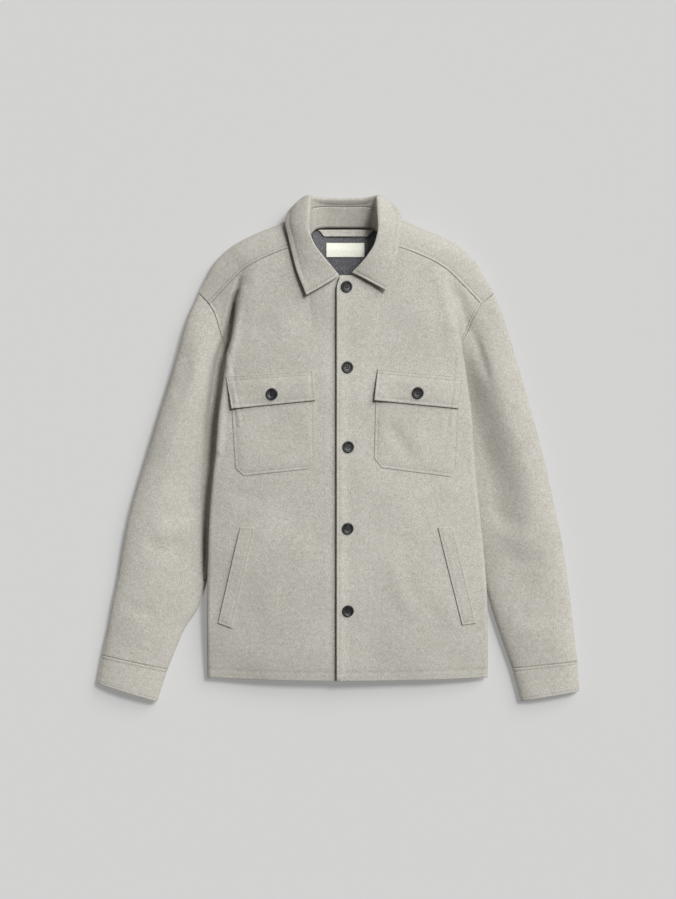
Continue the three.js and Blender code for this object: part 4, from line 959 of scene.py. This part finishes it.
# Sleeves and cuffs: round over the top and back along the surface
over_f = np.concatenate([0.5 - 0.5 * np.cos(np.linspace(0, np.pi, 75))])
under_f = over_f[::-1][1:-1]
ring_f = np.concatenate([over_f, under_f])
ring_over = np.concatenate([np.ones(len(over_f), bool), np.zeros(len(under_f), bool)])


def tube_face(tube, side, flip, seams):
    """A sleeve or cuff with its relief: its ring's places run 0 to 1 over the top and 1 to 2 back under."""
    def form(ring, t):
        over = ring <= 1
        return tube(side, t, np.clip(np.where(over, ring, 2 - ring), 0, 1), over)
    return form, cloth_face(form, flip, seams)


for side in ("left", "right"):
    flip = 1 if side == "left" else -1
    ring = np.where(ring_over, ring_f, 2 - ring_f)
    armhole = sleeve_form(side, 0, np.linspace(0, 0.95, 50), True)
    cuff_seam = cuff_form(side, 0, np.linspace(0, 1, 30), True)
    form, face = tube_face(sleeve_form, side, flip, [(armhole, lower_seam), (cuff_seam, lower_seam)])
    length = length_of(lambda s, form=form: form(np.full_like(s, 0.5), s))
    t = np.union1d(spaced(length, 3.2, (False, False)), np.array([2, 4, length - 4, length - 2]) / length)
    grid = face(ring[None, :], t[:, None])
    draw_back(draw_back(grid, "top"), "bottom", SEWN_GAP)
    node = f"sleeve_{WEARER[side]}"
    add_wool(node, grid, WOOL, flip, ring=True)

    form, face = tube_face(cuff_form, side, flip, [(cuff_seam, raised_seam)])
    length = length_of(lambda s, form=form: form(np.full_like(s, 0.5), s))
    t = spaced(length, 2.2, (False, True))
    grid = face(ring[None, :], t[:, None])
    node = f"cuff_{WEARER[side]}"
    add_wool(node, grid, WOOL, flip, ring=True, free=("bottom",))
    around = np.concatenate([np.linspace(0.02, 0.98, 60)])
    for from_end in (STITCH_OFF / length, 1 - 5.0 / length):
        note_row(node, face, flip, around, from_end)

# Collar: the stand, then the leaf that rolls over and falls down outside it
for node, names in (("collar_stand", ["base", "joint"]), ("collar_leaf", ["joint", "roll", "fall", "edge"])):
    def form(c, s, names=names):
        return collar_form(c, names, s)

    half = sampled(lambda k, form=form: form(k, 1.0), 2.6, (False, True))
    c = np.concatenate([-half[:0:-1], half])
    s = sampled(lambda k, form=form: form(np.full_like(k, 0.45), k), 2.2, (False, node == "collar_leaf"))
    seams = []
    if node == "collar_leaf":
        long_c = np.linspace(-0.97, 0.97, 240)
        _, edge_s = inset(form, long_c, 1, 0, -1, 5.5)
        seams.append((form(long_c, edge_s)[::4], pressed_row))
        for sign in (-1, 1):
            front_s = np.linspace(0.4, 0.97, 40)
            front_c, _ = inset(form, sign, front_s, -sign, 0, 5.5)
            seams.append((form(front_c, front_s)[::3], pressed_row))
            note_row(node, cloth_face(form, -1, [], 0.15), -1, front_c, front_s)
    face = cloth_face(form, -1, seams, 0.15)
    if node == "collar_leaf":
        note_row(node, face, -1, long_c, edge_s)
    grid = face(c[None, :], s[:, None])
    free = ("start", "end")
    if node == "collar_leaf":
        draw_back(grid, "top", SEWN_GAP)
        free += ("bottom",)
    add_wool(node, grid, COLLAR_WOOL, -1, free=free, rest=False)
    if node == "collar_stand":
        along = np.linspace(-0.6, 0.6, 160)
        note_row(node, face, -1, along, 0.9)
        note_row(node, face, -1, along, 0.1)


# What is sewn on the fronts
def on_front(side, x, y, out):
    """Places on a front seen at x and y from above, moved out by a height."""
    x, y, out = np.broadcast_arrays(np.asarray(x, float), np.asarray(y, float), np.asarray(out, float))
    flip = FLIP_FRONT[side]
    u = np.clip(np.abs(x - CENTRE_LINE) / 250, 0.05, 0.7)
    v = np.clip((YOKE_END_Y - y) / FRONT_LENGTH, 0.05, 0.95)
    for _ in range(10):
        here = front_form(side, u, v)
        du = (front_form(side, u + 1e-4, v) - here) * 1e4
        dv = (front_form(side, u, v + 1e-4) - here) * 1e4
        det = du[..., 0] * dv[..., 1] - dv[..., 0] * du[..., 1]
        miss_x, miss_y = x - here[..., 0], y - here[..., 1]
        u = np.clip(u + np.clip((miss_x * dv[..., 1] - miss_y * dv[..., 0]) / det, -0.1, 0.1), 0, 0.82)
        v = np.clip(v + np.clip((miss_y * du[..., 0] - miss_x * du[..., 1]) / det, -0.1, 0.1), 0, 1)
    normal = normal_of(lambda a, b: front_form(side, a, b), u, v, flip)
    return front_face[side](u, v) + normal * out[..., None]


def patch(corners, chamfer=0.0):
    """Turns places across and down a patch into x and y, with its lower corners cut off by a chamfer."""
    (ax, ay), (bx, by), (cx, cy), (dx, dy) = corners
    width, tall = abs(bx - ax), abs(ay - dy)

    def spot(a, b):
        lower = np.clip((b * tall - (tall - chamfer)) / chamfer, 0, 1) if chamfer else 0 * b
        a = mix(chamfer / width * lower, 1 - chamfer / width * lower, a)
        return mix(mix(ax, bx, a), mix(dx, cx, a), b), mix(mix(ay, by, a), mix(dy, cy, a), b)
    return spot, width, tall


def add_patch(node, side, corners, out, thick, rows, step=2.4, chamfer=0.0):
    """A flat piece sewn on a front. Out gives its height from the places across and down it."""
    spot, width, tall = patch(corners, chamfer)
    a = spaced(width, step)[None, :]
    b = spaced(tall, step)[:, None]

    def form(a, b):
        a, b = np.broadcast_arrays(np.asarray(a, float), np.asarray(b, float))
        x, y = spot(a, b)
        return on_front(side, x, y, out(a, b, width, tall))

    grid = form(a, b)
    add_wool(node, grid, thick, 1, free=ALL_BORDERS, rest=False)
    for line_a, line_b in rows(width, tall):
        line = form(line_a, line_b)
        across, down = form(line_a + 0.01, line_b), form(line_a, line_b + 0.01)
        normals = np.cross(down - line, across - line)
        normals /= np.linalg.norm(normals, axis=-1, keepdims=True)
        stitch_rows.setdefault(node, []).append((line, normals))


def border_distance(a, b, width, tall, sides):
    """Distance from the named sides of a patch."""
    each = {"left": a * width, "right": (1 - a) * width, "top": b * tall, "bottom": (1 - b) * tall}
    return np.minimum.reduce([each[name] for name in sides])


SEW_IN = 5.5      # from the edge of a pocket or flap to its stitches
WELT_SEW_IN = 4   # and of a welt
FLAP_TOP_ROWS = (2, 7)
FOUR_SIDES = ("left", "right", "top", "bottom")


def pocket_out(a, b, width, tall):
    edge = border_distance(a, b, width, tall, ("left", "right", "bottom"))
    return SEAM_GAP + POCKET_THIN + 0.9 * ease((edge - 1) / 16) + 0.5 * pressed_row(edge - SEW_IN)


def border_rows(width, tall, off, top, counts):
    """Rows inside the left, right and lower border of a patch, sampled at so many places down and across."""
    a, b = off / width, 1 - off / tall
    down, across = np.linspace(top, b, counts[0]), np.linspace(a, 1 - a, counts[1])
    return [(np.full_like(down, a), down), (np.full_like(down, 1 - a), down),
            (across, np.full_like(across, b))]


def pocket_rows(width, tall):
    return border_rows(width, tall, SEW_IN, 0.2, (60, 60))


def flap_out(a, b, width, tall):
    """A flap's height: its lower left corner stands up a little."""
    edge = border_distance(a, b, width, tall, ("left", "right", "bottom"))
    lift = 3.2 * ease(1 - a / 0.3) * ease((b - 0.2) / 0.8)
    base = mix(SEAM_GAP + FLAP_WALL + FLAP_SEAT, SEAM_GAP * 2 + POCKET_WALL + FLAP_WALL + FLAP_SEAT + 0.2,
               ease(b / 0.45))
    rows = pressed_row(edge - SEW_IN) + sum(pressed_row(b * tall - off) for off in FLAP_TOP_ROWS)
    return base + lift + 0.5 + rows + 0.4 * ease((edge - SEW_IN) / 10)


def flap_rows(width, tall):
    full = np.linspace(0.01, 0.99, 80)
    return border_rows(width, tall, SEW_IN, 0.02, (40, 80)) + [
        (full, np.full_like(full, off / tall)) for off in FLAP_TOP_ROWS]


def welt_out_of(side):
    opening = "left" if side == "left" else "right"

    def out(a, b, width, tall):
        edge = border_distance(a, b, width, tall, FOUR_SIDES)
        mouth = border_distance(a, b, width, tall, (opening,))
        lift = 1.4 * ease(1 - mouth / 12) * ease(b / 0.15) * ease((1 - b) / 0.15)
        return SEAM_GAP + WELT_WALL + 0.1 + lift + 0.4 * ease(edge / 6) + pressed_row(edge - WELT_SEW_IN)
    return out


def welt_rows(width, tall):
    top = WELT_SEW_IN / tall
    left, right, lower = border_rows(width, tall, WELT_SEW_IN, top, (70, 16))
    return [left, right, (lower[0], np.full_like(lower[0], top)), lower]


for side in ("left", "right"):
    name = WEARER[side]
    add_patch(f"chest_pocket_{name}", side, POCKET[side], pocket_out, POCKET_THIN, pocket_rows,
              chamfer=POCKET_CHAMFER)
    add_patch(f"flap_{name}", side, FLAP[side], flap_out, FLAP_WALL, flap_rows, step=2.0)
    add_patch(f"welt_{name}", side, WELT[side], welt_out_of(side), WELT_WALL, welt_rows, step=2.0)

# Buttons: a rounded rim, a sunk middle with four holes, sewn on with two bars of thread
BUTTON_RADIUS, BUTTON_THICK, BUTTON_SUNK = 9.4, 3.4, 1.6
RIM_RADIUS = 7.9          # where the rim is highest
HOLE_OFF, HOLE_RADIUS, HOLE_DEPTH = 1.7, 1.25, 1.5
HOLES = [(HOLE_OFF * a, HOLE_OFF * b) for a, b in ((1, 1), (-1, 1), (-1, -1), (1, -1))]
BUTTON_SIDES = 72


def button_profile(r):
    """Height of the button's face at a distance from its middle."""
    rim = BUTTON_THICK - BUTTON_SUNK + swell(np.maximum(RIM_RADIUS - r, 0), BUTTON_SUNK, 1.9)
    outer = BUTTON_THICK - 1.5 * (1 - np.sqrt(np.maximum(0, 1 - ((r - RIM_RADIUS) / 1.5) ** 2)))
    return np.where(r > RIM_RADIUS, outer, rim)


def add_button(node, side, x, y, above, turn):
    """A button with its bars of thread, at a height above the front and turned round its own axis."""
    seat, right, left, top, low = on_front(
        side, x + np.array([0, 6, -6, 0, 0]), y + np.array([0, 0, 0, 6, -6]), 0)
    ahead, upward = right - left, top - low
    up = np.cross(ahead, upward)
    up /= np.linalg.norm(up)
    ahead = ahead - (ahead @ up) * up
    ahead /= np.linalg.norm(ahead)
    aside = np.cross(up, ahead)
    axis_a = ahead * np.cos(turn) + aside * np.sin(turn)
    axis_b = np.cross(up, axis_a)
    origin = seat + up * (above + 0.35)
    radii = np.concatenate([np.linspace(0.2, 7.7, 30), np.linspace(7.95, 9.38, 8)])
    turns = np.linspace(0, 2 * np.pi, BUTTON_SIDES + 1)[:-1]
    r, k = np.meshgrid(radii, turns, indexing="ij")
    px, py = r * np.cos(k), r * np.sin(k)
    z = button_profile(r)
    for hx, hy in HOLES:
        z = z - HOLE_DEPTH * ease((HOLE_RADIUS - np.hypot(px - hx, py - hy)) / 0.5)
    top = np.stack([px, py, z], -1)
    side_r = BUTTON_RADIUS - np.array([0, 0.2, 1.2, 9.2])
    side_z = np.array([1.9, 0.9, 0.0, 0.0])
    low = np.stack([side_r[:, None] * np.cos(turns), side_r[:, None] * np.sin(turns),
                    np.repeat(side_z[:, None], len(turns), 1)], -1)
    local = np.concatenate([top, low])
    rows, cols = local.shape[:2]
    points = origin + local @ np.stack([axis_a, axis_b, up])
    ids = np.arange(rows * cols).reshape(rows, cols)
    ids = np.concatenate([ids, ids[:, :1]], 1)
    faces = np.stack([ids[:-1, :-1], ids[1:, :-1], ids[1:, 1:], ids[:-1, 1:]], -1).reshape(-1, 4).tolist()
    faces.append(ids[0, :-1].tolist())
    faces.append(ids[-1, :-1][::-1].tolist())
    add_piece(f"{node}_disc", node, (points.reshape(-1, 3), faces), BUTTON)
    bars = []
    for sign in (-1, 1):
        for shift in (-0.3, 0.3):
            share = np.linspace(-1, 1, 9)
            bow = 0.75 * (1 - share**4)
            line = (origin + axis_a * (share * HOLE_OFF)[:, None] + axis_b * (sign * HOLE_OFF + shift)
                    + up * (BUTTON_THICK - 2.0 + bow)[:, None])
            bars.append((line, np.repeat(up[None], 9, 0)))
    add_stitches(f"{node}_thread", bars, BUTTON_THREAD, "button", pitch=3.4, length=3.9, width=0.62)


turns = (0.35, 0.1, 0.7, 1.0, 0.5)
for i, ((x, y), turn) in enumerate(zip(FRONT_BUTTONS, turns)):
    add_button(f"front_button_{i + 1}", "right", x, y, 0.1, turn)
for side in ("left", "right"):
    x, y = FLAP_BUTTONS[side]
    above = SEAM_GAP * 2 + POCKET_WALL + FLAP_WALL + FLAP_SEAT + 0.9
    add_button(f"flap_button_{WEARER[side]}", side, x, y, above, 0.2)

# Neck: lining, hanger loop and the bare label
a = np.linspace(-1, 1, 61)[None, :]
b = np.linspace(0, 1, 50)[:, None]
x = CENTRE_LINE + a * LINING_REACH + 0 * b
y = mix(LINING_BACK - LINING_DROP * a**4, LINING_FRONT, b)
ripple = 0.5 * np.sin(x / 13 + 1) * np.sin(y / 19) * ease((1 - np.abs(a)) / 0.2)
grid = np.stack([x, y, lining_height(x, y) + ripple], -1)
add_piece("neck_lining_cloth", "neck_lining", shell(grid, JERSEY, 1, rest=False), JERSEY_CLOTH)

a = spaced(92, 1.6)[None, :] * 2 - 1
b = spaced(LOOP_BAND, 1.2)[:, None]
tip = ease((np.abs(a) - LOOP_PINCH_FROM) / (1 - LOOP_PINCH_FROM))
x = CENTRE_LINE + a * LOOP_REACH + LOOP_SHIFT + 0 * b
y = LOOP_TOP - b * LOOP_BAND * (1 - LOOP_PINCH * tip)
z = lining_height(x, y) + LOOP_LIFT + LOOP_BOW * (1 - a**2) + 0.5 * np.sin(b * np.pi)
add_wool("hanger_loop", np.stack([x, y, z], -1), LOOP_WALL, 1, free=ALL_BORDERS, rest=False)


def label_face(a, b):
    a, b = np.broadcast_arrays(np.asarray(a, float), np.asarray(b, float))
    x = LABEL_X + (a - 0.5) * LABEL_WIDTH
    y = mix(LABEL_TOP, LABEL_BOTTOM, b)
    return np.stack([x, y, lining_height(x, y) + 2 * SEAM_GAP + LABEL_WALL + 0.4], -1)


grid = label_face(spaced(LABEL_WIDTH, 1.8)[None, :], spaced(LABEL_LENGTH, 1.6)[:, None])
add_piece("neck_label_cloth", "neck_label", shell(grid, LABEL_WALL, 1, free=ALL_BORDERS, rest=False),
          LABEL_CLOTH)
label_rows = []
label_stitch = 1.6 / LABEL_WIDTH
for from_edge in (label_stitch, 1 - label_stitch):
    down = np.linspace(0.03, 0.97, 30)
    line = label_face(np.full(30, from_edge), down)
    label_rows.append((line, np.repeat([[0.0, 0.0, 1.0]], 30, 0)))

# Rows of stitches, each joined to one piece for the cloth it is sewn on
stitched = {node: add_stitches(f"{node}_stitches", rows) for node, rows in stitch_rows.items()}
stitched["neck_label"] = add_stitches("neck_label_stitches", label_rows, LABEL_THREAD, "label")

# Cloth as cut: width and length in metres of what is built, all round on a sleeve or cuff, its area in
# square metres, and what it lies on
CUT = {
    "back": (0.43, 0.611, 0.214, ["studio_surface"]),
    "yoke": (0.5, 0.2, 0.075, ["studio_surface"]),
    "front_left": (0.3, 0.7, 0.181, ["back"]),
    "front_right": (0.3, 0.7, 0.181, ["back"]),
    "sleeve_left": (0.47, 0.61, 0.146, ["studio_surface"]),
    "sleeve_right": (0.47, 0.61, 0.152, ["studio_surface"]),
    "cuff_left": (0.245, 0.05, 0.0114, ["studio_surface"]),
    "cuff_right": (0.245, 0.05, 0.0114, ["studio_surface"]),
    "collar_stand": (0.33, 0.036, 0.0086, ["yoke"]),
    "collar_leaf": (0.49, 0.064, 0.0238, ["yoke"]),
    "chest_pocket_left": (0.137, 0.135, 0.0173, ["front_left"]),
    "chest_pocket_right": (0.135, 0.133, 0.0168, ["front_right"]),
    "flap_left": (0.138, 0.052, 0.007, ["chest_pocket_left"]),
    "flap_right": (0.138, 0.052, 0.0068, ["chest_pocket_right"]),
    "welt_left": (0.0245, 0.163, 0.0038, ["front_left"]),
    "welt_right": (0.0245, 0.163, 0.0038, ["front_right"]),
    "neck_lining": (0.109, 0.1, 0.0108, ["back"]),
    "hanger_loop": (0.092, 0.0108, 0.0008, ["neck_lining"]),
    "neck_label": (0.061, 0.0245, 0.00145, ["neck_lining"]),
}
for node, (width, length, area, below) in CUT.items():
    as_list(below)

# Studio: a plain pale surface with a painted glow, a large soft light from the upper right, and light from
# all round
floor_points = [(-4000, -4000, -0.6), (4000, -4000, -0.6), (4000, 4000, -0.6), (-4000, 4000, -0.6)]


def paper_with_painted_glow():
    """Matt seamless studio paper with a faint tooth, given an even painted glow so that shadows on it stay
    pale.
    """
    material, tree, surface, place = new_material("matt_paper_painted_glow", "#D9D9D9")
    tooth = add(tree, "ShaderNodeTexNoise", {"Scale": per_mm(2), "Detail": 2.0}, {"Vector": place})
    tree.links.new(ramp(tree, tooth.outputs["Fac"], [(0.3, "#A3A3A3"), (0.7, "#A5A5A5")]),
                   surface.inputs["Base Color"])
    # Painted glow: the paper emits light of its own, which lifts the shadows cast on it
    surface.inputs["Emission Color"].default_value = linear("#FFFFFF")
    surface.inputs["Emission Strength"].default_value = 0.245
    surface.inputs["Roughness"].default_value = 1.0
    surface.inputs["Specular IOR Level"].default_value = 0.0
    return material


floor = make_object("studio_surface", floor_points, [(0, 1, 2, 3)], paper_with_painted_glow(), False)


def add_sun(name, power, spread, heading, height, colour):
    """A distant soft light: heading round from the right towards the top of the picture, height above it."""
    light = bpy.data.lights.new(name, "SUN")
    light.energy, light.angle, light.color = power, np.radians(spread), linear(colour)[:3]
    lamp = bpy.data.objects.new(name, light)
    heading, height = np.radians(heading), np.radians(height)
    towards = Vector((np.cos(heading) * np.cos(height), np.sin(heading) * np.cos(height), np.sin(height)))
    lamp.rotation_euler = towards.to_track_quat("Z", "Y").to_euler()
    bpy.context.scene.collection.objects.link(lamp)


add_sun("key_softbox", 1.85, 40, 45, 38, "#FFFEFC")
add_sun("key_reflector", 2.15, 14, 46, 60, "#FFFFFF")
world = bpy.data.worlds.new("studio_air")
world.use_nodes = True
world.node_tree.nodes["Background"].inputs["Color"].default_value = linear("#FBF8F2")
world.node_tree.nodes["Background"].inputs["Strength"].default_value = 0.14
bpy.context.scene.world = world
bpy.context.scene.view_settings.view_transform = "Standard"

# Camera: straight above, 1.6 mm to a pixel of the photograph
CAMERA_HEIGHT, PICTURE_TALL = 5000.0, 899 * 1.6
camera = bpy.data.cameras.new("above")
camera.sensor_width = 36.0
camera.lens = 36.0 * (CAMERA_HEIGHT - 30) / PICTURE_TALL
camera.clip_end = 20.0
eye = bpy.data.objects.new("above", camera)
eye.location = (-0.8 * METRE, 0, CAMERA_HEIGHT * METRE)
bpy.context.scene.collection.objects.link(eye)
bpy.context.scene.camera = eye
